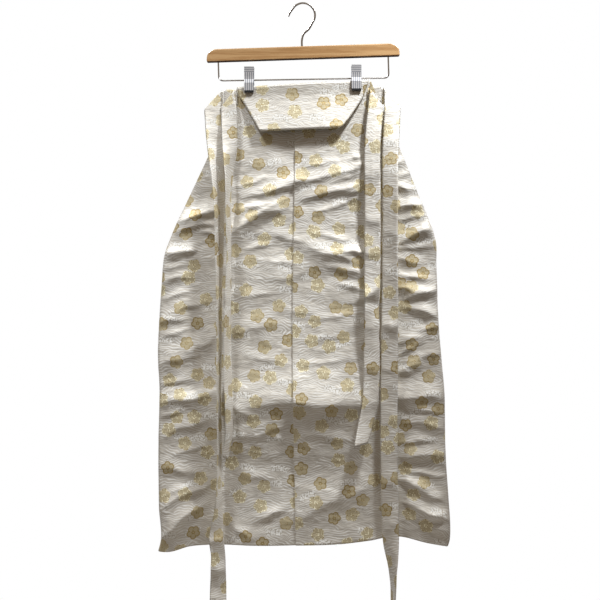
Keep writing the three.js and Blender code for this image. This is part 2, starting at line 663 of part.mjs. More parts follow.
for (const { name, x } of CLIPS) {
  const frame = new THREE.Group();
  frame.position.set(x, 0, straight(x, -ROD.half, ROD.left, ROD.half, ROD.right));
  group.add(frame);
  add(frame, `clip_${name}`, clip(), chrome());
  add(frame, `clip_pad_${name}_outer`, padBlock(JAW_FRONT, JAW_FRONT - PAD_THICK - CLIP.plate), rubber());
  add(frame, `clip_pad_${name}_inner`, padBlock(JAW_REAR, JAW_REAR + PAD_THICK + CLIP.plate), rubber());
}

for (const [name, side] of [['left', -1], ['right', 1]]) {
  add(group, `back_panel_${name}`, backPanel(side), fabric());
  add(group, `front_panel_${name}`, frontPanel(side), fabric());
  add(group, `inner_leg_${name}`, innerLeg(side), fabric());
}
add(group, 'back_board', backBoard(), fabric());
add(group, 'front_waistband', waistband(), fabric());
for (const [name, shape] of Object.entries(TIES)) add(group, name, tie(shape), fabric());

export default group;
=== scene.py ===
"""Hakama trousers of ivory brocade on a wooden clip hanger: cloth, ties, board, hanger and stage.

Lengths in the tables and shape functions are millimetres in the frame of the CAD part: +Z up, the
back board towards -Y, the origin at the inside top of the hook. METRE turns them into metres.
"""

import math
from functools import partial, partialmethod

import bmesh
import bpy
import numpy as np
from bpy.props import FloatProperty, FloatVectorProperty, PointerProperty
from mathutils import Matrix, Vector, noise


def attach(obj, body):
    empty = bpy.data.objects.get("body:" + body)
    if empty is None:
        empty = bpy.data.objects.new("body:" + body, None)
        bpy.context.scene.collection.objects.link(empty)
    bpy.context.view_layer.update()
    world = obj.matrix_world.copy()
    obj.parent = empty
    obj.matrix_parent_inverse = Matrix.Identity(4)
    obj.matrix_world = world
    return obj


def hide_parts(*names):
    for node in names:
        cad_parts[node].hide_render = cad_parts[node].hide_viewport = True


bl_info = {
    "name": "Hakama trousers",
    "version": (1, 0, 0),
    "blender": (4, 5, 0),
    "location": "View3D > Sidebar > Hakama",
    "description": "Builds hakama trousers of brocade on a clip hanger, and their stage",
    "category": "Object",
}

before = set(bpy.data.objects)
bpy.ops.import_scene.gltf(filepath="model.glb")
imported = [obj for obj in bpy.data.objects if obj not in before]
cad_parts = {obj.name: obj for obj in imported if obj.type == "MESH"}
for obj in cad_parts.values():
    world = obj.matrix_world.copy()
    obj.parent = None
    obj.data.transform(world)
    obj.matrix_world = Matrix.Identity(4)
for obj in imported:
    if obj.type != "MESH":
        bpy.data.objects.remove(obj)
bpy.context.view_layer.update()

METRE = 0.001
BODY = "root"

# ---- the garment's sizes, in mm

SEAM_GAP = 0.3
CLOTH = 1.2
PLY = CLOTH + SEAM_GAP
TIE_THICK = 1.8
BAND_THICK = 2.6
BAND_HEIGHT = 31
BAND_HALF = 145
BOARD_THICK = 4.5
BOARD_LEAN = 11
TOP_Z = -147
FRONT_TOP_Z = -156
HEM_Z = -994
SLIT_Z = -455
CROTCH_Z = -560
LAP_SEAM = {1: 10.4, -1: 8.6}
WAIST_STAND = 1.2
# How far in from its edges and its ends a closed piece reaches its full thickness.
BOARD_ROUND = (1.6, 1.6)
BAND_ROUND = (1.2, 1.2)
TIE_ROUND = (0.9, 1.0)
# Sloping lines of the waist, each through two points (x, z).
TOP_LINE = (-121.7, -153.4, 122.8, -139.8)
BOARD_BOTTOM = (-78, -237, 65, -231)
BAND_TOP = (-BAND_HALF, -157, BAND_HALF, -150)
# Half the width that the waist holds flat; the strip by a side seam where both faces move as one.
HELD_HALF = 112
SEAM_STRIP = 18
# How far a tie stays off the cloth beneath it, and over how many rows it rises to do so.
TIE_CLEAR = 2.5
LIFT_ROWS = 8

EDGE = {
    -1: {
        "z": [-147, -265, -360, -455, -517, -599, -645, -715, -801, -915, -970, -1000],
        "x": [-120.5, -169, -211, -251, -258.5, -264, -265.5, -262.5, -264.5, -263.5, -259, -266],
    },
    1: {
        "z": [-147, -267, -350, -435, -480, -575, -645, -715, -821, -938, -980, -998],
        "x": [125, 176, 210, 244, 246, 249, 254.5, 260.5, 262.5, 270, 270.5, 266],
    },
}
HEM = {
    "x": [-268, -241, -204, -148, -94, -17, 65, 121, 173, 229, 268],
    "z": [-1004, -1005, -995, -992, -994, -994, -991.5, -985, -977, -989.5, -996],
}
LAP = {"z": [-147, -300, -600, -1000], "x": [-14, -14, -18, -12]}
STAND = {
    "z": [-147, -168, -196, -237, -300, -455, -560, -731, -1010],
    "back": [WAIST_STAND, WAIST_STAND, 2.4, 5, 8.5, 12.5, 14.5, 16, 18],
    "front": [WAIST_STAND, WAIST_STAND, WAIST_STAND, 3, 6, 10, 11, 12, 13.5],
}
WAIST_STACK = {"back": (22, 86), "front": (56, 89)}
BOARD = {
    "v": [0, 0.12, 0.25, 0.36, 0.6, 0.93, 1],
    "left": [-120.3, -119.2, -115.5, -108.5, -97, -81.5, -78],
    "right": [122.8, 119.5, 115.3, 111.5, 98, 76, 66],
}
# Front knife pleats: edge from the middle at the waist and at the hem, a row for each side.
PLEATS = {1: [(22, 62), (38, 118)], -1: [(30, 64), (46, 120)]}
PLEAT_DEPTH = (8, 40)
PLEAT_RISE = (5, 12)
LEFT_CREASE_SHARE = 0.9
CREST_WANDER = 0.12

# Creases, each crest from left (x1, z1) to right (x2, z2): how wide its upper flank is, how wide
# its lower one is at either end, how far it stands out, and how far its middle bows up if it does.
BACK_CREASES = [
    (-96, -355, -12, -327, 12, 9, 14, 5.2, -4), (-112, -383, -62, -368, 8, 9, 5, 2.8),
    (-134, -428, -40, -380, 15, 24, 8, 6.4, 8), (-60, -428, 6, -442, 16, 8, 12, 3, 3),
    (4, -450, 86, -472, 18, 22, 6, 5, 2), (-6, -328, 118, -296, 12, 8, 14, 4.6, -4),
    (8, -357, 118, -328, 13, 8, 13, 5.4, -3), (92, -286, 116, -278, 7, 5, 9, 4),
    (84, -456, 118, -458, 10, 5, 9, 4.5), (62, -488, 120, -505, 14, 8, 26, 4.4, 4),
    (96, -548, 120, -541, 9, 6, 12, 2.6), (-60, -508, -6, -499, 12, 6, 9, 1.6, -3),
    (-40, -566, 24, -572, 13, 8, 8, 1.5, 3), (-118, -604, -64, -592, 14, 8, 6, 1.5),
    (14, -618, 80, -604, 16, 7, 10, 1.7, -3), (-150, -738, 150, -733, 30, 36, 30, 6.5),
    (-86, -735, 86, -733, 62, 120, 120, 12.5), (-129, -796, -43, -777, 15, 16, 9, 2.6, -6),
    (16, -792, 96, -806, 14, 8, 13, 2.2, 3), (-116, -862, -58, -874, 12, 7, 10, 2),
    (-5, -946, 118, -891, 26, 22, 16, 4.4, 5), (-76, -945, -37, -929, 10, 9, 6, 4.4),
    (-127, -960, -98, -979, 10, 6, 9, 3), (-300, -440, -158, -383, 12, 62, 6, 9.4, 9),
    (-182, -406, -152, -411, 6, 5, 7, 3), (-180, -421, -152, -427, 6, 4, 6, 2.8),
    (-306, -468, -205, -457, 9, 58, 4, 7.4, 3), (-292, -514, -214, -503, 12, 22, 8, 4.2),
    (-232, -566, -186, -553, 12, 12, 6, 3.6, 2), (-290, -586, -218, -581, 9, 12, 6, 3.6),
    (-212, -640, -160, -614, 12, 14, 7, 3.2, -3), (-268, -668, -196, -650, 16, 20, 8, 3.6, 5),
    (-268, -734, -168, -720, 15, 18, 13, 7), (-250, -792, -186, -771, 14, 17, 8, 3.8, 4),
    (-268, -852, -182, -866, 14, 10, 18, 4, 3), (-284, -946, -184, -889, 14, 24, 9, 6.8, 6),
    (-292, -1014, -197, -930, 22, 22, 12, 10, 4), (150, -298, 196, -286, 9, 7, 12, 3, -2),
    (166, -337, 210, -344, 8, 6, 13, 3.8), (172, -375, 252, -366, 11, 8, 24, 6),
    (184, -437, 274, -404, 13, 9, 30, 7.6, 4), (172, -470, 214, -482, 12, 8, 14, 3, 2),
    (170, -520, 208, -530, 12, 6, 13, 4), (198, -540, 276, -515, 11, 8, 26, 6.6),
    (204, -562, 280, -583, 11, 7, 26, 6.2), (170, -622, 232, -604, 14, 8, 16, 3.4, -3),
    (188, -660, 262, -642, 14, 9, 20, 4, 3), (172, -684, 214, -669, 10, 7, 11, 3),
    (156, -722, 272, -722, 16, 20, 32, 5.8), (190, -768, 266, -782, 14, 8, 18, 3.4, 3),
    (190, -832, 286, -824, 12, 9, 24, 5.6), (178, -873, 217, -887, 10, 6, 12, 4.6),
    (210, -890, 254, -912, 10, 8, 16, 5.2), (200, -922, 294, -958, 12, 8, 28, 7.6),
    (226, -962, 276, -970, 10, 6, 16, 4.6), (-118, -336, -70, -322, 6, 4, 6, 1.8, -2),
    (-104, -402, -30, -362, 7, 5, 7, 2.4, 3), (-112, -378, -84, -372, 5, 4, 5, 1.8),
    (-70, -346, -20, -338, 6, 4, 5, 1.6), (30, -384, 112, -352, 7, 5, 8, 2.4, -2),
    (86, -350, 118, -338, 6, 5, 9, 3), (52, -330, 100, -316, 6, 4, 5, 1.6),
    (10, -300, 60, -290, 6, 4, 5, 1.4), (96, -306, 116, -288, 6, 5, 8, 2.6),
    (-100, -452, -52, -440, 6, 4, 5, 1.6), (-64, -474, -16, -480, 6, 4, 5, 1.4),
    (20, -424, 84, -436, 7, 4, 6, 1.8), (70, -516, 118, -528, 6, 5, 8, 2.2),
    (-128, -742, -98, -758, 6, 6, 4, 2.6), (-108, -540, -50, -532, 7, 4, 5, 1.2),
    (30, -580, 104, -570, 7, 4, 6, 1.4), (-96, -650, -30, -660, 7, 4, 5, 1.2),
    (10, -664, 90, -652, 7, 4, 6, 1.2), (-232, -420, -176, -404, 6, 4, 6, 2),
    (-262, -492, -214, -480, 6, 4, 6, 2), (-258, -545, -206, -529, 6, 4, 7, 2),
    (-262, -614, -212, -600, 6, 4, 6, 1.8), (-254, -700, -206, -690, 6, 4, 6, 1.8),
    (-262, -760, -222, -748, 6, 4, 6, 2.2), (-230, -826, -180, -812, 6, 4, 6, 1.8),
    (-250, -900, -205, -884, 6, 4, 6, 2), (176, -318, 212, -310, 6, 4, 6, 2),
    (184, -398, 236, -388, 6, 4, 7, 2.2), (180, -452, 240, -446, 6, 4, 6, 2),
    (176, -500, 232, -508, 6, 4, 7, 2.4), (214, -600, 262, -592, 6, 5, 8, 2.6),
    (178, -644, 216, -622, 6, 4, 7, 2.4), (176, -676, 212, -660, 6, 4, 7, 2.6),
    (196, -744, 262, -752, 6, 4, 7, 2.2), (182, -806, 238, -800, 6, 4, 6, 2),
    (196, -858, 256, -868, 6, 4, 7, 2.6), (206, -946, 262, -936, 6, 4, 6, 2.2),
]
# Broad soft swells of the back.
BACK_SWELLS = [
    (-206, -566, -164, -736, 12, 12, 9, -4), (-120, -880, 120, -874, 80, 60, 60, -7),
    (-235, -560, -205, -840, 26, 26, 26, 3), (205, -560, 225, -800, 24, 24, 24, 3),
]
# Creases of the front, which hangs against the same hanger: the storage fold goes through both.
FRONT_CREASES = [
    (-250, -724, 250, -730, 20, 30, 26, 5), (-215, -372, -128, -338, 16, 20, 8, 4.5, -4),
    (-240, -452, -150, -405, 18, 26, 9, 5, 5), (-212, -556, -170, -536, 12, 12, 7, 3),
    (-246, -640, -188, -662, 14, 10, 15, 4, -4), (-252, -842, -176, -818, 14, 20, 10, 4.5),
    (-256, -948, -196, -905, 14, 18, 8, 5, 4), (-120, -498, -66, -476, 14, 14, 8, 3),
    (-104, -846, -40, -862, 16, 9, 15, 3), (22, -412, 88, -388, 14, 9, 14, 3, -3),
    (36, -618, 108, -640, 18, 10, 18, 3, 4), (20, -872, 92, -846, 16, 10, 18, 3.5),
    (140, -352, 206, -382, 12, 8, 17, 4, 3), (132, -428, 238, -462, 16, 10, 24, 5, -5),
    (182, -560, 240, -548, 12, 8, 15, 4), (170, -655, 246, -628, 14, 9, 18, 4),
    (186, -806, 256, -826, 14, 8, 16, 4), (176, -902, 250, -934, 14, 9, 20, 5, 4),
    (120, -960, 168, -948, 12, 8, 12, 3),
]

# How a tie leaves its root and folds over, angles in the x-z plane.
BACK_TIE = {
    "heading": -8, "fall": -97, "width": 29.6, "reach": 14.1, "shear": 0.05,
    "radius": 1.6, "spread": 0.25,
}
FRONT_TIE = {
    "heading": -5, "fall": -90, "width": 31, "reach": 16.2, "shear": 0.087,
    "radius": 1.7, "spread": 0.3,
}
BOARD_SIDE = -(WAIST_STAND + (CLOTH + BOARD_THICK) / 2 + 2 * SEAM_GAP)
BAND_SIDE = WAIST_STAND + (CLOTH + BAND_THICK) / 2 + 2 * SEAM_GAP
# A tie's root (x, y, z) and the route that it hangs along; turn 0 faces -Y and 90 is edge on.
TIES = {
    "back_tie_right": {
        **BACK_TIE, "side": 1, "root": (119, BOARD_SIDE, -171), "cut": 0.24,
        "z": [-262, -340, -500, -560, -620, -727, -808],
        "x": [127.5, 127.5, 127, 126, 126, 123, 106],
        "y": [-21, -24, -27, -29, -29, -29, -31],
        "turn": [0, 0, 4, 22, 8, 8, 28],
        "creases": [
            (111, -322, 145, -314, 10, 13, 16, 2.4), (111, -398, 145, -408, 12, 6, 8, 2.6),
            (111, -462, 140, -464, 12, 5, 4, 2.4), (111, -543, 146, -518, 9, 7, 28, 6.4),
            (108, -552, 146, -550, 9, 8, 8, -2.4), (110, -600, 142, -592, 14, 9, 12, 1.8),
            (108, -668, 140, -676, 14, 9, 9, 2), (106, -742, 134, -730, 12, 9, 13, 2.6),
            (80, -838, 140, -832, 40, 58, 10, 26),
        ],
    },
    "back_tie_left": {
        **BACK_TIE, "side": -1, "root": (-120.3, BOARD_SIDE - 1.1, -173), "cut": -0.24,
        "z": [-255, -300, -345, -480, -560, -660, -780, -832],
        "x": [-133, -133, -134.5, -134, -136, -136, -133, -141],
        "y": [-22, -29, -33, -35, -35, -35, -36, -36],
        "turn": [16, 52, 70, 76, 68, 62, 66, 66],
        "creases": [
            (-148, -226, -118, -218, 12, 8, 10, 1.8), (-140, -352, -128, -346, 14, 7, 7, 2),
            (-139, -452, -129, -460, 14, 8, 8, 2.2), (-141, -548, -130, -540, 12, 7, 9, 3),
            (-142, -640, -130, -648, 14, 9, 9, 2), (-140, -744, -127, -738, 13, 8, 9, 2.2),
        ],
    },
    "front_tie_right": {
        **FRONT_TIE, "side": 1, "root": (BAND_HALF + 0.4, BAND_SIDE, -168.5), "cut": 0,
        "z": [-275, -345, -480, -600, -800, -970, -1040, -1142],
        "x": [160.5, 159.5, 159, 158.5, 157, 160, 164, 165],
        "y": [-17, -27, -31, -33, -33, -33, -33, -33],
        "turn": [-10, -24, -26, -12, -10, -18, -66, -84],
        "creases": [
            (145, -262, 175, -252, 13, 8, 11, 1.8), (145, -418, 174, -428, 14, 8, 9, 1.6),
            (140, -593, 176, -592, 9, 15, 15, 4.6), (143, -668, 172, -680, 14, 9, 9, 2),
            (143, -772, 172, -760, 14, 10, 12, 2.2), (143, -876, 173, -882, 14, 9, 10, 2.2),
            (150, -962, 172, -950, 12, 8, 13, 3),
        ],
    },
    "front_tie_left": {
        **FRONT_TIE, "side": -1, "root": (-BAND_HALF - 0.4, BAND_SIDE, -174.5), "cut": 0,
        "z": [-275, -350, -450, -580, -900, -975, -1010, -1070, -1148],
        "x": [-158.5, -152, -151, -151.5, -151.5, -156, -153, -153, -154],
        "y": [-19, -30, -35, -37, -37, -35, -35, -34, -34],
        "turn": [20, 48, 62, 74, 74, 38, 36, 20, 10],
        "creases": [
            (-172, -238, -145, -228, 13, 8, 9, 1.8), (-160, -392, -146, -386, 14, 8, 8, 1.8),
            (-156, -522, -146, -528, 14, 8, 8, 2), (-157, -672, -146, -662, 14, 8, 9, 2.2),
            (-157, -806, -146, -812, 14, 9, 8, 2), (-166, -914, -142, -902, 13, 8, 11, 2.6),
            (-174, -1088, -138, -1094, 12, 12, 12, 6), (-174, -986, -138, -976, 10, 14, 18, 8),
            (-174, -1032, -138, -1036, 12, 12, 12, 8),
        ],
    },
}


# ---- small mathematics


def ease(value, start, end):
    """A smooth step from 0 at start to 1 at end."""
    t = np.clip((np.asarray(value, float) - start) / (end - start), 0, 1)
    return t * t * (3 - 2 * t)


def along(table, column, key, at):
    """A smooth curve through a table's rows, read at one or many values of its key column."""
    keys, values = np.asarray(table[key], float), np.asarray(table[column], float)
    if keys[0] > keys[-1]:
        keys, values = keys[::-1], values[::-1]
    slope = np.empty_like(values)
    slope[1:-1] = (values[2:] - values[:-2]) / (keys[2:] - keys[:-2])
    slope[0] = (values[1] - values[0]) / (keys[1] - keys[0])
    slope[-1] = (values[-1] - values[-2]) / (keys[-1] - keys[-2])
    at = np.clip(np.asarray(at, float), keys[0], keys[-1])
    i = np.clip(np.searchsorted(keys, at) - 1, 0, len(keys) - 2)
    span = keys[i + 1] - keys[i]
    t = (at - keys[i]) / span
    return (
        (2 * t**3 - 3 * t**2 + 1) * values[i]
        + (t**3 - 2 * t**2 + t) * span * slope[i]
        + (3 * t**2 - 2 * t**3) * values[i + 1]
        + (t**3 - t**2) * span * slope[i + 1]
    )


def between(first, second, share):
    """A share of the way from a first value to a second."""
    return first + (second - first) * share


def straight(x, x1, z1, x2, z2):
    """Height at x of the straight line through two points."""
    return z1 + (z2 - z1) * (np.asarray(x, float) - x1) / (x2 - x1)


def field(x, z, size, seed):
    """Smooth noise from about -1 to 1 over arrays of places, size in mm for one swell."""
    flat = [
        noise.noise((a / size, b / size, seed * 7.31))
        for a, b in zip(np.ravel(x).tolist(), np.ravel(z).tolist())
    ]
    return np.asarray(flat).reshape(np.shape(x))


# ---- the garment's form


def stand(face, x, z):
    """How far the back or the front stands off the middle plane."""
    start, end = WAIST_STACK[face]
    middle = 1 - ease(np.abs(x), start, end)
    return along(STAND, face, "z", z) + 2 * PLY * middle * ease(z, -275, -200)


def row_height(level, x):
    """Height of a point of a row: rows slope with the waist at the top and the hem below."""
    t = (np.asarray(level, float) - HEM_Z) / (TOP_Z - HEM_Z)
    waist = (straight(x, *TOP_LINE) - 1 - TOP_Z) * ease(t, 0.6, 1)
    hem = (along(HEM, "z", "x", x) - HEM_Z) * (1 - ease(t, 0, 0.16))
    return level + waist + hem


def creases(rows, x, z, sharp=True):
    """The relief of a table of creases over arrays of places. Sharp ones end in a line below."""
    relief = np.zeros(np.shape(x))
    for row in rows:
        x1, z1, x2, z2, above, low1, low2, height, bow = (*row, 0)[:9]
        dx, dz = x2 - x1, z2 - z1
        length = math.hypot(dx, dz)
        t = ((x - x1) * dx + (z - z1) * dz) / length**2
        off = ((z - z1) * dx - (x - x1) * dz) / length
        inside = np.clip(t, 0, 1)
        off = off - bow * 4 * inside * (1 - inside)
        off = off + CREST_WANDER * above * np.sin(9 * t + x1)
        low = between(low1, low2, inside)
        beyond = length * np.maximum(np.maximum(-t, t - 1), 0) / (1.3 * above)
        swell = 0.45 + 0.55 * np.sin(np.pi * np.clip(t * 0.9 + 0.05, 0, 1))
        upper = np.exp(-((off / (1.3 * above)) ** 2))
        lower = np.exp(-((off / low) ** 2))
        if sharp:
            upper = 0.55 * upper + 0.45 * np.exp(-np.abs(off) / (1.1 * above))
            lower = 0.25 * lower + 0.75 * np.exp(-np.abs(off) / (0.75 * low))
        profile = np.where(off > 0, upper, lower)
        relief += height * swell * profile * np.exp(-(beyond**2))
    return relief


def crumple(x, z, seed, strength):
    """Small uneven swells between the creases, longer across than down."""
    big = field(x * 0.45, z, 46, seed)
    small = field(x * 0.6, z, 17, seed + 3)
    return strength * (2.3 * big + 0.8 * small + 0.35 * field(x * 0.8, z, 8, seed + 5))


def swells(face, side, x, z, props):
    """The creases and crumples of a face."""
    back = face == "back"
    strength = props.crease_strength * (LEFT_CREASE_SHARE if side < 0 else 1)
    out = strength * creases(BACK_CREASES if back else FRONT_CREASES, x, z)
    if back:
        out = out + creases(BACK_SWELLS, x, z, sharp=False)
    return out + crumple(x, z, 1 if back else 2, props.crumple_strength)


def relief(face, side, x, z, edge, props):
    """How far the cloth stands out from its plain form; both faces move as one at the side seam."""
    out = swells(face, side, x, z, props)
    seam = out if face == "back" else -swells("back", side, x, z, props)
    beside = ease(side * x, edge, edge - SEAM_STRIP)
    waist = 1 - ease(z, -300, -215) * np.where(np.abs(x) < HELD_HALF, 1, 0.55)
    return (out * beside + 0.55 * seam * (1 - beside)) * waist


# ---- making meshes


def grid_mesh(name, points, flat):
    """A smooth-shaded mesh over rows and columns of points, its UV map in metres of flat cloth."""
    down, across = points.shape[0] - 1, points.shape[1] - 1
    mesh = bpy.data.meshes.new(name)
    bm = bmesh.new()
    bmesh.ops.create_grid(bm, x_segments=across, y_segments=down, size=0.5)
    bm.to_mesh(mesh)
    bm.free()
    place = np.empty(len(mesh.vertices) * 3)
    mesh.vertices.foreach_get("co", place)
    place = place.reshape(-1, 3)
    column = np.rint((place[:, 0] + 0.5) * across).astype(int)
    row = np.rint((0.5 - place[:, 1]) * down).astype(int)
    mesh.vertices.foreach_set("co", (points[row, column] * METRE).ravel())
    corner = np.empty(len(mesh.loops), int)
    mesh.loops.foreach_get("vertex_index", corner)
    layer = mesh.uv_layers.new(name="flat_cloth")
    layer.data.foreach_set("uv", (flat[row, column] * METRE)[corner].ravel())
    mesh.polygons.foreach_set("use_smooth", np.ones(len(mesh.polygons), bool))
    mesh.update()
    obj = bpy.data.objects.new(name, mesh)
    bpy.context.scene.collection.objects.link(obj)
    return obj


def normals(surface):
    """Unit normals at the points of a surface."""
    normal = np.cross(np.gradient(surface, axis=1), np.gradient(surface, axis=0))
    return normal / np.maximum(np.linalg.norm(normal, axis=2, keepdims=True), 1e-9)


def roundness(surface, axis, reach):
    """How much of its thickness a piece has, from none at two edges to all at a reach inwards."""
    stretch = np.linalg.norm(np.diff(surface, axis=axis), axis=2)
    run = np.cumsum(np.insert(stretch, 0, 0, axis=axis), axis=axis)
    inwards = np.minimum(run, run.take([-1], axis=axis) - run)
    left = np.clip(1 - inwards / reach, 0, 1)
    return np.sqrt(1 - left * left)


def closed_mesh(name, middle, flat, thickness, rounding):
    """A flat closed tube round a middle surface, its edges and ends rounded over."""
    half = thickness / 2 * roundness(middle, 1, rounding[0]) * roundness(middle, 0, rounding[1])
    out = normals(middle) * half[..., None]
    points = np.concatenate([middle + out, (middle - out)[:, ::-1][:, 1:]], axis=1)
    mirrored = flat[:, ::-1][:, 1:].copy()
    mirrored[..., 0] = 2 * flat[..., 0].max() - mirrored[..., 0]
    obj = grid_mesh(name, points, np.concatenate([flat, mirrored], axis=1))
    bm = bmesh.new()
    bm.from_mesh(obj.data)
    bmesh.ops.remove_doubles(bm, verts=bm.verts, dist=0.00002)
    bm.to_mesh(obj.data)
    bm.free()
    return obj


def thicken(obj, thickness):
    """A live thickness of cloth on a sheet, half to each side."""
    shell = obj.modifiers.new("Cloth thickness", "SOLIDIFY")
    shell.thickness = thickness
    shell.offset = 0
    shell.use_even_offset = False


def spaced(values, counts):
    """Points of a polyline, each of its stretches cut into the count given for it."""
    out = [np.asarray(values[0], float)]
    for (start, end), count in zip(zip(values, values[1:]), counts):
        start, end = np.asarray(start, float), np.asarray(end, float)
        out += [start + (end - start) * k / count for k in range(1, count + 1)]
    return out


# ---- panels


def turned(edge, depth, facing):
    """A turn of the cloth from one ply to the next, as points (u, depth)."""
    r = PLY / 2
    return [
        (edge - facing * r + facing * r * math.cos(a), depth + r + r * math.sin(a))
        for a in map(math.radians, range(-90, 91, 30))
    ]


def side_edge(edge, standing, open_share):
    """The side from its edge inwards: the last 5 mm close the seam, or lie flat at the slit."""
    deep = (standing - SEAM_GAP / 2) * (1 - open_share)
    reach = 5 + 4 * open_share
    return [
        (edge - reach * (1 - math.cos(a)), deep * (1 - math.sin(a)))
        for a in np.linspace(0, math.pi / 2, 8)
    ]


def lap(side, level):
    """The centre lap: the right panel folds under and the left one passes beneath it."""
    edge = float(along(LAP, "x", "z", level))
    if side > 0:
        return spaced([*turned(edge, 0, -1), (LAP_SEAM[1], PLY)], [1] * 6 + [10])
    start, end = 48 - edge, 2.5 - edge
    step = [(u, 2 * PLY * float(ease(u, start, end))) for u in np.linspace(start, end, 13)]
    return step + spaced([step[-1], (-LAP_SEAM[-1], 2 * PLY)], [10])[1:]


def pleated(pleat, t):
    """One knife pleat, as points (u, depth)."""
    edge, depth, rise = (between(*ends, t) for ends in (pleat, PLEAT_DEPTH, PLEAT_RISE))
    outward, inward = turned(edge, 0, -1), turned(edge + depth, PLY, 1)
    out = spaced([*outward, *inward], [1] * 6 + [8] + [1] * 6)
    return out + spaced([inward[-1], (edge - 1, 2 * PLY), (edge - 1 - rise, 0)], [8, 4])[1:]


def section(face, side, level, cells):
    """One row of a panel as points (u, depth), from the side edge to the seam under the lap."""
    tuck = 3 * float(ease(level, SLIT_Z, SLIT_Z + 60)) if face == "front" else 0
    edge = side * float(along(EDGE[side], "x", "z", level)) - tuck
    standing = float(stand(face, side * edge, level))
    outer = side_edge(edge, standing, float(ease(level, SLIT_Z, SLIT_Z + 110)))
    inner = lap(side, level)
    if face == "front":
        t = (level - FRONT_TOP_Z) / (HEM_Z - FRONT_TOP_Z)
        for pleat in PLEATS[side]:
            points = pleated(pleat, t)
            inner = spaced([points[-1], inner[0]], [6])[:-1] + inner
            inner = points[:-1] + inner
        cells = cells // 2
    plain = spaced([outer[-1], inner[0]], [cells])[1:-1]
    return edge, outer + plain + inner


def panel(face, side, props):
    """A whole panel's points and flat cloth, rows from the waist to the hem."""
    top = TOP_Z if face == "back" else FRONT_TOP_Z
    rows = int(round((top - HEM_Z) / props.cell * METRE))
    cells = int(round(200 / (props.cell / METRE)))
    levels = np.linspace(top, HEM_Z, rows + 1)
    edges, points = zip(*(section(face, side, level, cells) for level in levels))
    u, depth = np.moveaxis(np.asarray(points, float), 2, 0)
    edge = np.asarray(edges)[:, None]
    x = side * u
    z = row_height(levels[:, None], x)
    out = stand(face, x, z) - depth + relief(face, side, x, z, edge, props)
    arc = np.hypot(np.diff(u, axis=1), np.diff(depth, axis=1))
    arc = np.cumsum(np.insert(arc, 0, 0, axis=1), axis=1)
    flat = np.stack([side * (edge - arc), levels[:, None] + 0 * arc], axis=2)
    return np.stack([x, -out if face == "back" else out, z], axis=2), flat


def inner_leg(side, props):
    """A leg's inner width of cloth, from the centre seams down to the hem."""
    x = LAP_SEAM[1] - 1 if side > 0 else LAP_SEAM[-1] - CLOTH / 2
    inset = (PLY if side > 0 else 2 * PLY) + CLOTH / 2 + SEAM_GAP
    rows = int(round((CROTCH_Z - HEM_Z) / (props.cell / METRE)))
    level = np.linspace(CROTCH_Z, HEM_Z, rows + 1)[:, None]
    share = np.linspace(0, 1, 9)[None, :]
    x = np.full_like(level, x)
    z = row_height(level, x)
    start = inset - stand("back", x, z) - swells("back", side, x, z, props)
    end = stand("front", x, z) + swells("front", side, x, z, props) - inset
    y = between(start, end, share)
    z = z + 0 * y
    return np.stack([x + 0 * y, y, z], axis=2), np.stack([y - start, z], axis=2)


# ---- board, band and ties


def board(columns=96, rows=40):
    """The back board's middle surface."""
    v = np.linspace(0, 1, rows + 1)[:, None]
    share = np.linspace(0, 1, columns + 1)[None, :]
    left, right = along(BOARD, "left", "v", v), along(BOARD, "right", "v", v)
    x = between(left, right, share)
    z = between(straight(x, *TOP_LINE), straight(x, *BOARD_BOTTOM), v)
    cloth = stand("back", x, z) + (CLOTH + BOARD_THICK) / 2 + 2 * SEAM_GAP
    lean = BOARD_LEAN * np.maximum(0, (v - 0.25) / 0.75) ** 1.2
    return np.stack([x, -cloth - lean, z], axis=2), np.stack([x, z], axis=2)


def waistband(columns=110, rows=16):
    """The front waistband's middle surface."""
    share = np.linspace(0, 1, columns + 1)[None, :]
    v = np.linspace(0, 1, rows + 1)[:, None]
    x = np.repeat(-BAND_HALF + 2 * BAND_HALF * share, rows + 1, axis=0)
    z = straight(x, *BAND_TOP) - v * BAND_HEIGHT
    y = stand("front", x, z) + (CLOTH + BAND_THICK) / 2 + 2 * SEAM_GAP
    return np.stack([x, y, z], axis=2), np.stack([x, z], axis=2)


class Fold:
    """A flat strip that leaves its root and folds over towards -Y on a slanting line."""

    def __init__(self, tie):
        self.tie = tie
        side = tie["side"]
        heading, fall = math.radians(tie["heading"]), math.radians(tie["fall"])
        self.going = np.array([side * math.cos(heading), math.sin(heading)])
        falling = np.array([side * math.cos(fall), math.sin(fall)])
        self.across = np.array([-side * self.going[1], side * self.going[0]])
        axis = self.going + falling
        self.axis = axis / np.linalg.norm(axis)
        self.beyond = np.array([-side * self.axis[1], side * self.axis[0]])
        self.slope = float(self.across @ self.beyond / (self.going @ self.beyond))
        x, _, z = tie["root"]
        self.pivot = np.array([x, z]) + self.going * tie["reach"]
        self.arc = math.pi * tie["radius"] / float(self.going @ self.beyond)

    def line(self, place, v):
        """Points of the strip at distance v across it, place along it."""
        radius = self.tie["radius"]
        p = place[:, None] * self.going + v[:, None] * self.across
        d = p @ self.beyond
        bend = np.clip(d / radius, 0, math.pi)
        past = np.maximum(0, d - math.pi * radius)
        in_plane = np.minimum(d, 0) + radius * np.sin(bend) - past
        flat = (p @ self.axis)[:, None] * self.axis + in_plane[:, None] * self.beyond + self.pivot
        y = self.tie["root"][1] - radius * (1 - np.cos(bend)) - self.tie["spread"] * past
        return np.stack([flat[:, 0], y, flat[:, 1]], axis=1)


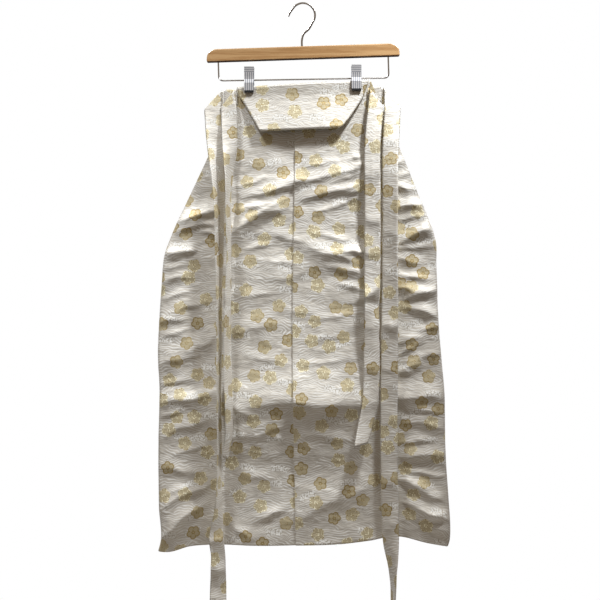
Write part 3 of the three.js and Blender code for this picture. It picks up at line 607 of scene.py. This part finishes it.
def lifted(surface, side, props):
    """How far each row of a tie is pushed out to ride over the creases beneath it."""
    x, y, z = surface[..., 0], surface[..., 1], surface[..., 2]
    cloth = stand("back", x, z) + swells("back", side, x, z, props)
    hanging = 1 - ease(z.mean(axis=1), -330, -290)
    short = np.maximum(0, TIE_CLEAR + cloth + y).max(axis=1) * hanging
    reach = np.arange(-LIFT_ROWS, LIFT_ROWS + 1)
    rows = np.clip(np.arange(len(short))[:, None] + reach, 0, len(short) - 1)
    widened = np.pad(short[rows].max(axis=1), LIFT_ROWS, mode="edge")
    weights = np.hanning(2 * LIFT_ROWS + 3)[1:-1]
    return np.convolve(widened, weights / weights.sum(), "valid")


def tie_surface(tie, seed, props, columns=14, step=4.0):
    """A tie's middle surface and its flat cloth."""
    fold = Fold(tie)
    width = tie["width"]
    v = np.linspace(-width / 2, width / 2, columns + 1)
    skew = abs(fold.slope) * width / 2
    clear = skew + fold.arc + 4
    start = -tie["reach"] - tie["shear"] * v
    crease = -fold.slope * v
    before_end = clear - 2 - 0.4 * (skew + fold.slope * v)
    places = spaced([start, crease], [8]) + [crease + fold.arc * k / 8 for k in range(1, 9)]
    places += spaced([places[-1], before_end], [8])[1:] + [np.full_like(v, clear)]
    lines = [fold.line(place, v) for place in places]
    flats = [np.stack([v, -place], axis=1) for place in places]

    first = lines[-1]
    middle = (first[0] + first[-1]) / 2
    toward = 1 if first[-1, 0] > first[0, 0] else -1
    lift = (first[-1, 1] - first[0, 1]) * toward / width
    turn = math.degrees(math.asin(max(-1, min(1, lift))))
    begin = dict(zip(("x", "y", "z", "turn"), (*middle, turn)))
    route = {key: [float(value), *tie[key]] for key, value in begin.items()}
    steps = int(math.ceil((middle[2] - tie["z"][-1]) / step))
    for k in range(1, steps + 1):
        z = middle[2] + (tie["z"][-1] - middle[2]) * k / steps
        x, y, angle = (float(along(route, key, "z", z)) for key in ("x", "y", "turn"))
        turn = math.radians(angle)
        settle = float(ease(k * step, 0, 51))
        cut = tie["cut"] * float(ease(k, steps - 6, steps))
        w = toward * v
        sag = np.interp(v, [v[0], v[-1]], [first[0, 2] - middle[2], first[-1, 2] - middle[2]])
        fall = z + sag * (1 - settle) + cut * w
        lines.append(np.stack([x + w * math.cos(turn), y + w * math.sin(turn), fall], axis=1))
        flats.append(np.stack([v, np.full_like(v, -clear - k * step)], axis=1))
    surface, flat = np.stack(lines), np.stack(flats)
    raised = -creases(tie["creases"], surface[..., 0], surface[..., 2])
    swells_out = tie_swells(surface, flat, seed)
    swells_out[..., 1] += raised * ease(-flat[..., 1], 40, 80)
    surface = surface + swells_out
    surface[..., 1] -= lifted(surface, tie["side"], props)[:, None]
    return surface, flat + (150 * seed + 61, 97 * seed)


def tie_swells(surface, flat, seed):
    """Small swells square to a tie, growing away from its root."""
    across, down = flat[..., 0], flat[..., 1]
    grow = 1 - ease(down, -110, -40)
    swell = 1.1 * field(across * 0.8, down, 30, seed)
    ridge = 0.9 * np.exp(-((across / 2.2) ** 2)) * field(across * 0, down, 90, seed + 5)
    return normals(surface) * (grow * (swell + ridge))[..., None]


# ---- shader helpers


class Value:
    """An output of a node that can be reckoned with: each operation adds one Math node."""

    def __init__(self, socket):
        self.socket = socket
        self.tree = socket.id_data

    def math(self, operation, *others):
        """The result of a Math node with this value as its first."""
        return read(self.tree, "Math", dict(enumerate((self, *others))), operation=operation)

    def vector(self, operation, other):
        """The result of a Vector Math node."""
        return read(self.tree, "VectorMath", {0: self, 1: other}, operation=operation)

    __add__ = partialmethod(math, "ADD")
    __sub__ = partialmethod(math, "SUBTRACT")
    __mul__ = partialmethod(math, "MULTIPLY")
    __truediv__ = partialmethod(math, "DIVIDE")
    __abs__ = partialmethod(math, "ABSOLUTE")

    def __rsub__(self, other):
        return read(self.tree, "Math", {0: other, 1: self}, operation="SUBTRACT")

    def __rtruediv__(self, other):
        return read(self.tree, "Math", {0: other, 1: self}, operation="DIVIDE")


def feed(value, socket):
    """Links a value to a socket, or sets a constant there; colours are opaque."""
    if isinstance(value, Value):
        socket.id_data.links.new(value.socket, socket)
    elif socket.type == "RGBA":
        socket.default_value = (*value, 1)
    else:
        socket.default_value = value


def node(tree, kind, inputs, **settings):
    """The outputs of a new shader node, its settings and inputs given."""
    made = tree.nodes.new("ShaderNode" + kind)
    for key, value in settings.items():
        setattr(made, key, value)
    for key, value in dict(inputs).items():
        feed(value, made.inputs[key])
    return made.outputs


def read(tree, kind, inputs=(), output=0, **settings):
    """One output of a new node."""
    return Value(node(tree, kind, inputs, **settings)[output])


def parts(value, kind="SeparateXYZ"):
    """The three parts of a vector, or of a colour."""
    return [Value(part) for part in node(value.tree, kind, {0: value})]


def step(value, start, end):
    """A smooth step of a value, from 0 at start to 1 at end."""
    limits = {"Value": value, "From Min": start, "From Max": end, "To Min": 0.0, "To Max": 1.0}
    return read(value.tree, "MapRange", limits, interpolation_type="SMOOTHSTEP")


def blend(factor, first, second):
    """Two colours mixed by a factor."""
    return read(factor.tree, "Mix", {0: factor, 6: first, 7: second}, 2, data_type="RGBA")


def noisy(place, scale, detail=1.0, output=0):
    """Noise over the flat cloth."""
    inputs = {"Vector": place, "Scale": scale, "Detail": detail}
    return read(place.tree, "TexNoise", inputs, output, noise_dimensions="2D")


def scatter(place, scale, randomness):
    """Many scattered centres: the nearest one's place, its random numbers and the distance."""
    inputs = {"Vector": place, "Scale": scale, "Randomness": randomness}
    cells = node(place.tree, "TexVoronoi", inputs, voronoi_dimensions="2D")
    chance = parts(Value(cells["Color"]), "SeparateColor")
    return Value(cells["Position"]), chance, Value(cells["Distance"])


def patches(place, width, height, randomness):
    """Place (x, y) from the middle of the nearest patch, and the patch's three random numbers."""
    squashed = place.vector("DIVIDE", (width, height, 1.0))
    centre, chance, _ = scatter(squashed, 1.0, randomness)
    local = squashed.vector("SUBTRACT", centre).vector("MULTIPLY", (width, height, 0.0))
    return *parts(local)[:2], chance


def arc_height(x, y, slope, bend):
    """Height above a bowed and slanted line through the centre."""
    return y + x * slope + x * x * bend


def group(name, sizes, masks):
    """A node group that takes a place and some sizes and gives masks."""
    tree = bpy.data.node_groups.new(name, "ShaderNodeTree")
    for direction, sockets in (("INPUT", ["Place", *sizes]), ("OUTPUT", masks)):
        for socket in sockets:
            kind = "NodeSocketVector" if socket == "Place" else "NodeSocketFloat"
            tree.interface.new_socket(socket, in_out=direction, socket_type=kind)
    given = tree.nodes.new("NodeGroupInput").outputs
    result = tree.nodes.new("NodeGroupOutput").inputs
    return tree, [Value(given[socket]) for socket in ("Place", *sizes)], result


def use(name, make, **inputs):
    """The outputs of a node group, made once and put beside its inputs."""
    made = inputs["Place"].tree.nodes.new("ShaderNodeGroup")
    made.node_tree = bpy.data.node_groups.get(name) or make(name)
    for key, value in inputs.items():
        feed(value, made.inputs[key])
    return [Value(socket) for socket in made.outputs]


# ---- the brocade


def waves_group(name):
    """Fine white lines in bundles of bowed waves that lie over one another."""
    tree, (place, spacing), result = group(name, ["Spacing"], ["Mask"])
    warp = noisy(place, 34.0, output="Color").vector("SUBTRACT", (0.5, 0.5, 0.5))
    warp = warp.vector("MULTIPLY", (0.02, 0.012, 0.0))
    x, y, chance = patches(place.vector("ADD", warp), 0.056, 0.02, 0.9)
    height = arc_height(x, y, chance[0] - 0.5, (chance[1] - 0.3) * 12.0)
    phase = height / spacing + chance[2]
    away = abs(phase.math("FRACT") - 0.5)
    strength = step(parts(warp)[0], -0.003, 0.002) * 0.55 + 0.45
    feed(step(away, 0.26, 0.1) * strength, result["Mask"])
    return tree


def foam_group(name):
    """Bowed patches of small beads, here and there."""
    tree, (place,), result = group(name, [], ["Mask", "Patch"])
    x, y, chance = patches(place, 0.066, 0.045, 0.85)
    height = abs(arc_height(x, y, (chance[0] - 0.5) * 0.8, 14.0))
    patch = step(height, 0.0066, 0.005) * step(abs(x), 0.0165, 0.0135)
    patch = patch * chance[1].math("LESS_THAN", 0.72)
    beads = scatter(place, 310.0, 0.75)[2]
    feed(patch * step(beads, 0.56, 0.4), result["Mask"])
    feed(patch, result["Patch"])
    return tree


def blossoms_group(name):
    """Five-petalled blossoms: all of the gold, its outline threads, and where a painted glint lies
    on them.
    """
    masks = ["Mask", "Rim", "Painted glint"]
    tree, (place, spacing, size), result = group(name, ["Spacing", "Size"], masks)
    petal_turn = 2 * math.pi / 5
    turn = {"Vector": place, "Angle": 0.47}
    askew = read(tree, "VectorRotate", turn, rotation_type="Z_AXIS")
    centre, chance, _ = scatter(askew, 1.0 / spacing, 0.6)
    unit = 1.0 / (size * (chance[1] * 0.07 + 0.46))
    from_centre = askew.vector("SUBTRACT", centre)
    local = read(tree, "VectorMath", {0: from_centre, "Scale": unit}, operation="SCALE")
    radius = read(tree, "VectorMath", {0: local}, "Value", operation="LENGTH")
    x, y, _ = parts(local)
    angle = y.math("ARCTAN2", x) + chance[0] * (2 * math.pi)
    folded = ((angle / petal_turn + 20.0).math("FRACT") - 0.5) * petal_turn
    across = radius * folded.math("SINE")
    outward = radius * folded.math("COSINE") - 0.54
    petal = (across * across + outward * outward).math("SQRT")
    whole = step(petal, 0.5, 0.44).math("MAXIMUM", step(radius, 0.5, 0.44))
    ring = step(abs(petal - 0.38), 0.11, 0.03)
    heart = step(abs(radius - 0.17), 0.1, 0.03)
    mottle = noisy(place, 420.0)
    bright = ring.math("MAXIMUM", heart) * 1.5 + mottle * 2.8
    # Painted glint: some blossoms, by chance and in broad noisy patches, get a bright glint on
    # their outline threads.
    painted_glint_spots = chance[1] * 0.4 + noisy(place, 8.0) * 1.3
    feed(whole * chance[2].math("LESS_THAN", 0.96), result["Mask"])
    feed(step(bright, 1.6, 2.5), result["Rim"])
    feed(step(painted_glint_spots, 0.6, 1.0) * step(mottle, 0.4, 0.56), result["Painted glint"])
    return tree


def simple(name, colour, roughness, metallic):
    """A material with constant values, its tree and its shader's inputs."""
    made = bpy.data.materials.new(name)
    made.use_nodes = True
    shader = made.node_tree.nodes["Principled BSDF"].inputs
    feed(colour, shader["Base Color"])
    feed(roughness, shader["Roughness"])
    feed(metallic, shader["Metallic"])
    return made, made.node_tree, shader


def brocade(name, props):
    """Satin ground with woven waves, foam and gold blossoms, on the cloth's own UV map."""
    made, tree, shader = simple(name, props.ground_colour, props.ground_roughness, 0)
    place = read(tree, "UVMap", uv_map="flat_cloth")
    waves = use("Woven waves", waves_group, Place=place, Spacing=props.wave_spacing)[0]
    foam, patch = use("Woven foam", foam_group, Place=place)
    gold, rim, painted_glint_spots = use(
        "Woven blossoms", blossoms_group,
        Place=place, Spacing=props.blossom_spacing, Size=props.blossom_size,
    )
    white = (waves * (1.0 - patch)).math("MAXIMUM", foam)
    plain = white * (1.0 - gold)
    between = blend(patch, props.ground_colour, props.foam_gap_colour)
    thread = blend(plain, between, props.wave_colour)
    # Painted glint: where it lies, the outline threads take the bright glint colour in place of the
    # dull gold.
    glint = rim * painted_glint_spots
    dull = blend(rim, props.gold_dark_colour, props.gold_colour)
    gold_with_painted_glint = blend(glint, dull, props.painted_glint_colour)
    feed(blend(gold, thread, gold_with_painted_glint), shader["Base Color"])
    satin = (1.0 - plain) * props.ground_metallic * (1.0 - gold)
    # Where the glint is painted the gold is made nearly matt, so that the painted highlight shows.
    golden = gold * ((rim - glint) * 0.3 + 0.35 - glint * 0.3)
    feed(satin + golden, shader["Metallic"])
    feed(plain * 0.3 + props.ground_roughness + gold * 0.04, shader["Roughness"])
    threads = {"Height": plain * 0.5 + rim * 0.7, "Strength": 0.3, "Distance": 0.0001}
    crinkles = {
        "Height": noisy(place.vector("MULTIPLY", (60.0, 130.0, 1.0)), 1.0, 2.0),
        "Strength": 0.5,
        "Distance": props.crinkle_depth,
        "Normal": read(tree, "Bump", threads),
    }
    feed(read(tree, "Bump", crinkles), shader["Normal"])
    feed(0.5, shader["Specular IOR Level"])
    feed(0.15, shader["Sheen Weight"])
    return made


# ---- finishes


def wood(name, colour, dark):
    """Varnished beech with a long grain in the bar's direction; its underside is painted dark
    red-brown as shade.
    """
    made, tree, shader = simple(name, colour, 0.38, 0)
    place = read(tree, "TexCoord", output="Object")
    long = place.vector("MULTIPLY", (6.0, 60.0, 160.0))
    thin = place.vector("MULTIPLY", (40.0, 600.0, 900.0))
    bands = {"Vector": long, "Scale": 1.0, "Detail": 5.0, "Distortion": 0.6}
    fine = read(tree, "TexNoise", {"Vector": thin, "Scale": 1.0})
    share = read(tree, "TexNoise", bands) * 0.7 + fine * 0.3
    face = blend(step(share, 0.4, 0.62), colour, dark)
    # Painted shade: faces that turn down take a dark red-brown in place of the wood colour.
    up = parts(read(tree, "NewGeometry", output="Normal"))[2]
    feed(blend(step(up, -0.25, -0.7), face, (0.07, 0.018, 0.008)), shader["Base Color"])
    feed(0.5, shader["Coat Weight"])
    feed(0.2, shader["Coat Roughness"])
    return made


def ridges(along_axis, spacing):
    """Lines across an axis."""
    return step(abs((along_axis / spacing).math("FRACT") - 0.5), 0.2, 0.34)


def clip_chrome(name):
    """Bright plated clips with upright ribs below the rod and grip ridges above it, the ribs
    painted as dark lines of shade.
    """
    made, tree, shader = simple(name, (0.9, 0.9, 0.92), 0.3, 0.35)
    x, _, z = parts(read(tree, "TexCoord", output="Object"))
    above = z.math("GREATER_THAN", -0.127)
    # Painted shade: dark lines in the colour stand for the shade in the ribs and grip ridges.
    dark = (ridges(x, 0.0036) * (1.0 - above)).math("MAXIMUM", ridges(z, 0.0034) * above)
    feed(blend(dark, (0.92, 0.92, 0.95), (0.38, 0.4, 0.46)), shader["Base Color"])
    return made


def plated(name, colour, roughness):
    """Plated steel with faint uneven polish."""
    made, tree, shader = simple(name, colour, roughness, 1)
    place = read(tree, "TexCoord", output="Object")
    smear = read(tree, "TexNoise", {"Vector": place, "Scale": 240.0, "Detail": 3.0})
    feed(smear * 0.12 + (roughness - 0.05), shader["Roughness"])
    return made


def rubber(name, colour):
    """Matt black rubber."""
    return simple(name, colour, 0.6, 0)[0]


def paint(obj, slot, name, make, *values):
    """Gives a piece its material, made once, in a new material slot; the slot argument is not used.
    """
    obj.data.materials.clear()
    obj.data.materials.append(bpy.data.materials.get(name) or make(name, *values))


def cover(obj, solid):
    """Lets a piece of brocade ride on the body in place of a solid."""
    paint(obj, "brocade", "Brocade", brocade, bpy.context.scene.hakama_cloth)
    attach(obj, BODY)
    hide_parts(solid)


# ---- properties


def amount(name, description, default, subtype="FACTOR", unit="NONE", **limits):
    """A number that can be changed."""
    return FloatProperty(
        name=name, description=description, default=default, subtype=subtype, unit=unit, **limits
    )


def tint(name, description, default):
    """A colour that can be changed."""
    return FloatVectorProperty(name=name, description=description, default=default, subtype="COLOR")


metres = partial(amount, subtype="DISTANCE", unit="LENGTH")
watts = partial(amount, subtype="POWER", unit="POWER")


class HAKAMA_PG_cloth(bpy.types.PropertyGroup):
    """Sizes and colours of the cloth."""

    cell: metres("Cell", "Spacing of the cloth's mesh", 0.0026, min=0.0015)
    thickness: metres("Thickness", "Thickness of the brocade", 0.0009)
    crease_strength: amount("Creases", "How strongly the placed creases stand out", 1.5)
    crumple_strength: amount("Crumples", "How strongly the small swells stand out", 1.0)
    wave_spacing: metres("Wave spacing", "Distance between the woven lines", 0.0043)
    blossom_spacing: metres("Blossom spacing", "Mean distance between blossoms", 0.0435)
    blossom_size: metres("Blossom size", "Width of a blossom", 0.026)
    crinkle_depth: metres("Crinkles", "Depth of the fine crinkles", 0.0016)
    ground_colour: tint("Ground", "Satin ground", (0.715, 0.675, 0.61))
    wave_colour: tint("Waves", "Matt white thread", (0.91, 0.9, 0.87))
    foam_gap_colour: tint("Between beads", "Ground between the beads", (0.6, 0.56, 0.49))
    gold_colour: tint("Gold outline", "Outline of the duller blossoms", (0.46, 0.34, 0.15))
    gold_dark_colour: tint("Dull gold", "Petals of the duller blossoms", (0.62, 0.54, 0.36))
    # A painted glint colour: the bright colour that the gold outline takes where a glint is painted
    # on.
    painted_glint_colour: tint("Glint", "Gold thread where it shines", (1.0, 0.96, 0.74))
    ground_metallic: amount("Satin", "How mirror-like the ground is", 0.48)
    ground_roughness: amount("Ground roughness", "Roughness of the ground", 0.54)


class HAKAMA_PG_hanger(bpy.types.PropertyGroup):
    """Colours of the hanger."""

    wood_colour: tint("Wood", "Beech", (0.76, 0.47, 0.22))
    grain_colour: tint("Grain", "Darker grain", (0.56, 0.3, 0.12))
    steel_colour: tint("Steel", "Plated steel", (0.72, 0.69, 0.67))
    rubber_colour: tint("Rubber", "Pads of the clips", (0.012, 0.012, 0.013))


class HAKAMA_PG_stage(bpy.types.PropertyGroup):
    """The stage: camera, lights and surroundings."""

    camera_distance: metres("Camera distance", "From the middle plane", 2.4)
    framed_width: metres("Framed width", "Width that the camera sees at the cloth", 1.098)
    key_power: watts("Key lights", "Power of the key lights", 1.58)
    back_power: watts("Back lights", "Power of each light behind the garment", 7.0)
    fill_strength: amount("Surroundings", "Brightness of the surroundings", 0.27)


# ---- operators

# Where each panel lies on the bolt in mm, so that the woven pattern isn't the same on any two.
BOLT = {
    "back_panel_right": (733, 410), "front_panel_left": (1512, 90), "front_panel_right": (2290, 655)
}
SIDES = {-1: "left", 1: "right"}


def hang(name, surface, props):
    """A panel's or a leg's cloth in place of its solid, with its size laid flat."""
    points, flat = surface
    obj = grid_mesh(f"{name}_cloth", points, flat + BOLT.get(name, (0, 0)))
    thicken(obj, props.thickness)
    cover(obj, name)


class HAKAMA_OT_panels(bpy.types.Operator):
    """Build the back and front panels and the inner leg widths"""

    bl_idname = "hakama.panels"
    bl_label = "Panels"

    def execute(self, context):
        props = context.scene.hakama_cloth
        for face in ("back", "front"):
            for side, name in SIDES.items():
                hang(f"{face}_panel_{name}", panel(face, side, props), props)
        for side, name in SIDES.items():
            hang(f"inner_leg_{name}", inner_leg(side, props), props)
        return {"FINISHED"}


class HAKAMA_OT_board(bpy.types.Operator):
    """Build the covered back board and the front waistband"""

    bl_idname = "hakama.board"
    bl_label = "Board and waistband"

    def execute(self, context):
        cover(closed_mesh("back_board_cover", *board(), BOARD_THICK, BOARD_ROUND), "back_board")
        band = closed_mesh("front_waistband_cover", *waistband(), BAND_THICK, BAND_ROUND)
        cover(band, "front_waistband")
        return {"FINISHED"}


class HAKAMA_OT_ties(bpy.types.Operator):
    """Build the two long front ties and the two short back ties"""

    bl_idname = "hakama.ties"
    bl_label = "Ties"

    def execute(self, context):
        for seed, (name, tie) in enumerate(TIES.items()):
            middle, flat = tie_surface(tie, seed, context.scene.hakama_cloth)
            obj = closed_mesh(f"{name}_cloth", middle, flat, TIE_THICK, TIE_ROUND)
            cover(obj, name)
            tie["width"] * METRE
        return {"FINISHED"}


class HAKAMA_OT_hanger(bpy.types.Operator):
    """Finish the hanger: bar, hook, rod, clips and pads"""

    bl_idname = "hakama.hanger"
    bl_label = "Hanger"

    def execute(self, context):
        props = context.scene.hakama_hanger
        steel = ("hook_wire", "Hook wire", plated, props.steel_colour, 0.24)
        finishes = {
            "hanger_bar": ("bar_wood", "Bar wood", wood, props.wood_colour, props.grain_colour),
            "hanger_hook": steel,
            "hanger_rod": steel,
            "clip_pad": ("pad_rubber", "Pad rubber", rubber, props.rubber_colour),
            "clip_": ("clip_chrome", "Clip chrome", clip_chrome),
        }
        for name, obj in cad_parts.items():
            found = [start for start in finishes if name.startswith(start)]
            if found:
                paint(obj, *finishes[found[0]])
        return {"FINISHED"}


# The two key lights: place and aim in metres, and their share of the power.
KEYS = (
    ("Key left", (-0.72, -0.72, 1.05), (-0.34, 0, -0.54), 0.86),
    ("Key right", (0.64, -0.56, 1.1), (0.16, 0, -0.29), 1.3),
)
# The camera looks level at the middle of the garment; its cloth is nearer by this much.
LOOKING_AT = (-0.0046, -0.545)
CLOTH_NEARER = 0.015


class HAKAMA_OT_stage(bpy.types.Operator):
    """Make the camera, the lights, the surroundings and the floor"""

    bl_idname = "hakama.stage"
    bl_label = "Stage"

    def execute(self, context):
        props = context.scene.hakama_stage
        scene = context.scene
        scene.view_settings.view_transform = "Standard"
        camera = bpy.data.cameras.new("Camera")
        camera.sensor_width = 36
        depth = props.camera_distance - CLOTH_NEARER
        camera.lens = camera.sensor_width * depth / props.framed_width
        lens = bpy.data.objects.new("Camera", camera)
        scene.collection.objects.link(lens)
        lens.location = (LOOKING_AT[0], -props.camera_distance, LOOKING_AT[1])
        lens.rotation_euler = (math.pi / 2, 0, 0)
        scene.camera = lens

        for name, place, aim, share in KEYS:
            self.lamp(name, place, aim, props.key_power * share, 0.2, 38)
        for name, side in (("Back left", -1), ("Back right", 1)):
            place, aim = (side * 0.8, 1.5, 0.9), (side * 0.1, 0, -0.5)
            self.lamp(name, place, aim, props.back_power, 0.5, 90)

        self.surroundings(scene, props)

        bpy.ops.mesh.primitive_plane_add(size=3.0, location=(0, 0, -1.9))
        floor = context.object
        floor.name = "Floor"
        floor.data.materials.append(simple("Floor", (0.82, 0.82, 0.81), 0.6, 0)[0])
        return {"FINISHED"}

    def lamp(self, name, place, aim, energy, size, spread):
        """One square soft lamp turned towards a point."""
        light = bpy.data.lights.new(name, "AREA")
        light.shape = "SQUARE"
        light.size = size
        light.spread = math.radians(spread)
        light.energy = energy
        light.color = (0.95, 0.98, 1.0)
        lamp = bpy.data.objects.new(name, light)
        bpy.context.scene.collection.objects.link(lamp)
        lamp.location = place
        turn = (Vector(aim) - lamp.location).to_track_quat("-Z", "Y")
        lamp.rotation_euler = turn.to_euler()

    def surroundings(self, scene, props):
        """White where the camera looks, and for reflections bright above and dark below."""
        world = bpy.data.worlds.new("Surroundings")
        world.use_nodes = True
        scene.world = world
        tree = world.node_tree
        up = parts(read(tree, "TexCoord", output="Generated"))[2]
        tone = blend(step(up, -0.22, 0.32), (0.06, 0.034, 0.019), (1.0, 0.84, 0.67))
        soft = read(tree, "Background", {"Color": tone, "Strength": props.fill_strength})
        plain = read(tree, "Background", {"Color": (1.0, 1.0, 1.0), "Strength": 1.0})
        seen = read(tree, "LightPath", output="Is Camera Ray")
        mixed = read(tree, "MixShader", {0: seen, 1: soft, 2: plain})
        feed(mixed, tree.nodes["World Output"].inputs["Surface"])


class HAKAMA_PT_sidebar(bpy.types.Panel):
    """Lists the steps in the 3D view's sidebar"""

    bl_label = "Hakama"
    bl_idname = "HAKAMA_PT_sidebar"
    bl_space_type = "VIEW_3D"
    bl_region_type = "UI"
    bl_category = "Hakama"

    def draw(self, context):
        for settings in GROUPS:
            box = self.layout.box()
            props = getattr(context.scene, settings)
            for key in props.__annotations__:
                box.prop(props, key)
        for operator in OPERATORS:
            self.layout.operator(operator.bl_idname)


GROUPS = {
    "hakama_cloth": HAKAMA_PG_cloth,
    "hakama_hanger": HAKAMA_PG_hanger,
    "hakama_stage": HAKAMA_PG_stage,
}
OPERATORS = (
    HAKAMA_OT_panels, HAKAMA_OT_board, HAKAMA_OT_ties, HAKAMA_OT_hanger, HAKAMA_OT_stage,
)


def register():
    for cls in (*GROUPS.values(), *OPERATORS, HAKAMA_PT_sidebar):
        bpy.utils.register_class(cls)
    for name, cls in GROUPS.items():
        setattr(bpy.types.Scene, name, PointerProperty(type=cls))


def unregister():
    for name in GROUPS:
        delattr(bpy.types.Scene, name)
    for cls in (HAKAMA_PT_sidebar, *reversed(OPERATORS), *GROUPS.values()):
        bpy.utils.unregister_class(cls)


def main():
    register()
    bpy.ops.hakama.panels()
    bpy.ops.hakama.board()
    bpy.ops.hakama.ties()
    bpy.ops.hakama.hanger()
    bpy.ops.hakama.stage()


if __name__ == "__main__":
    main()
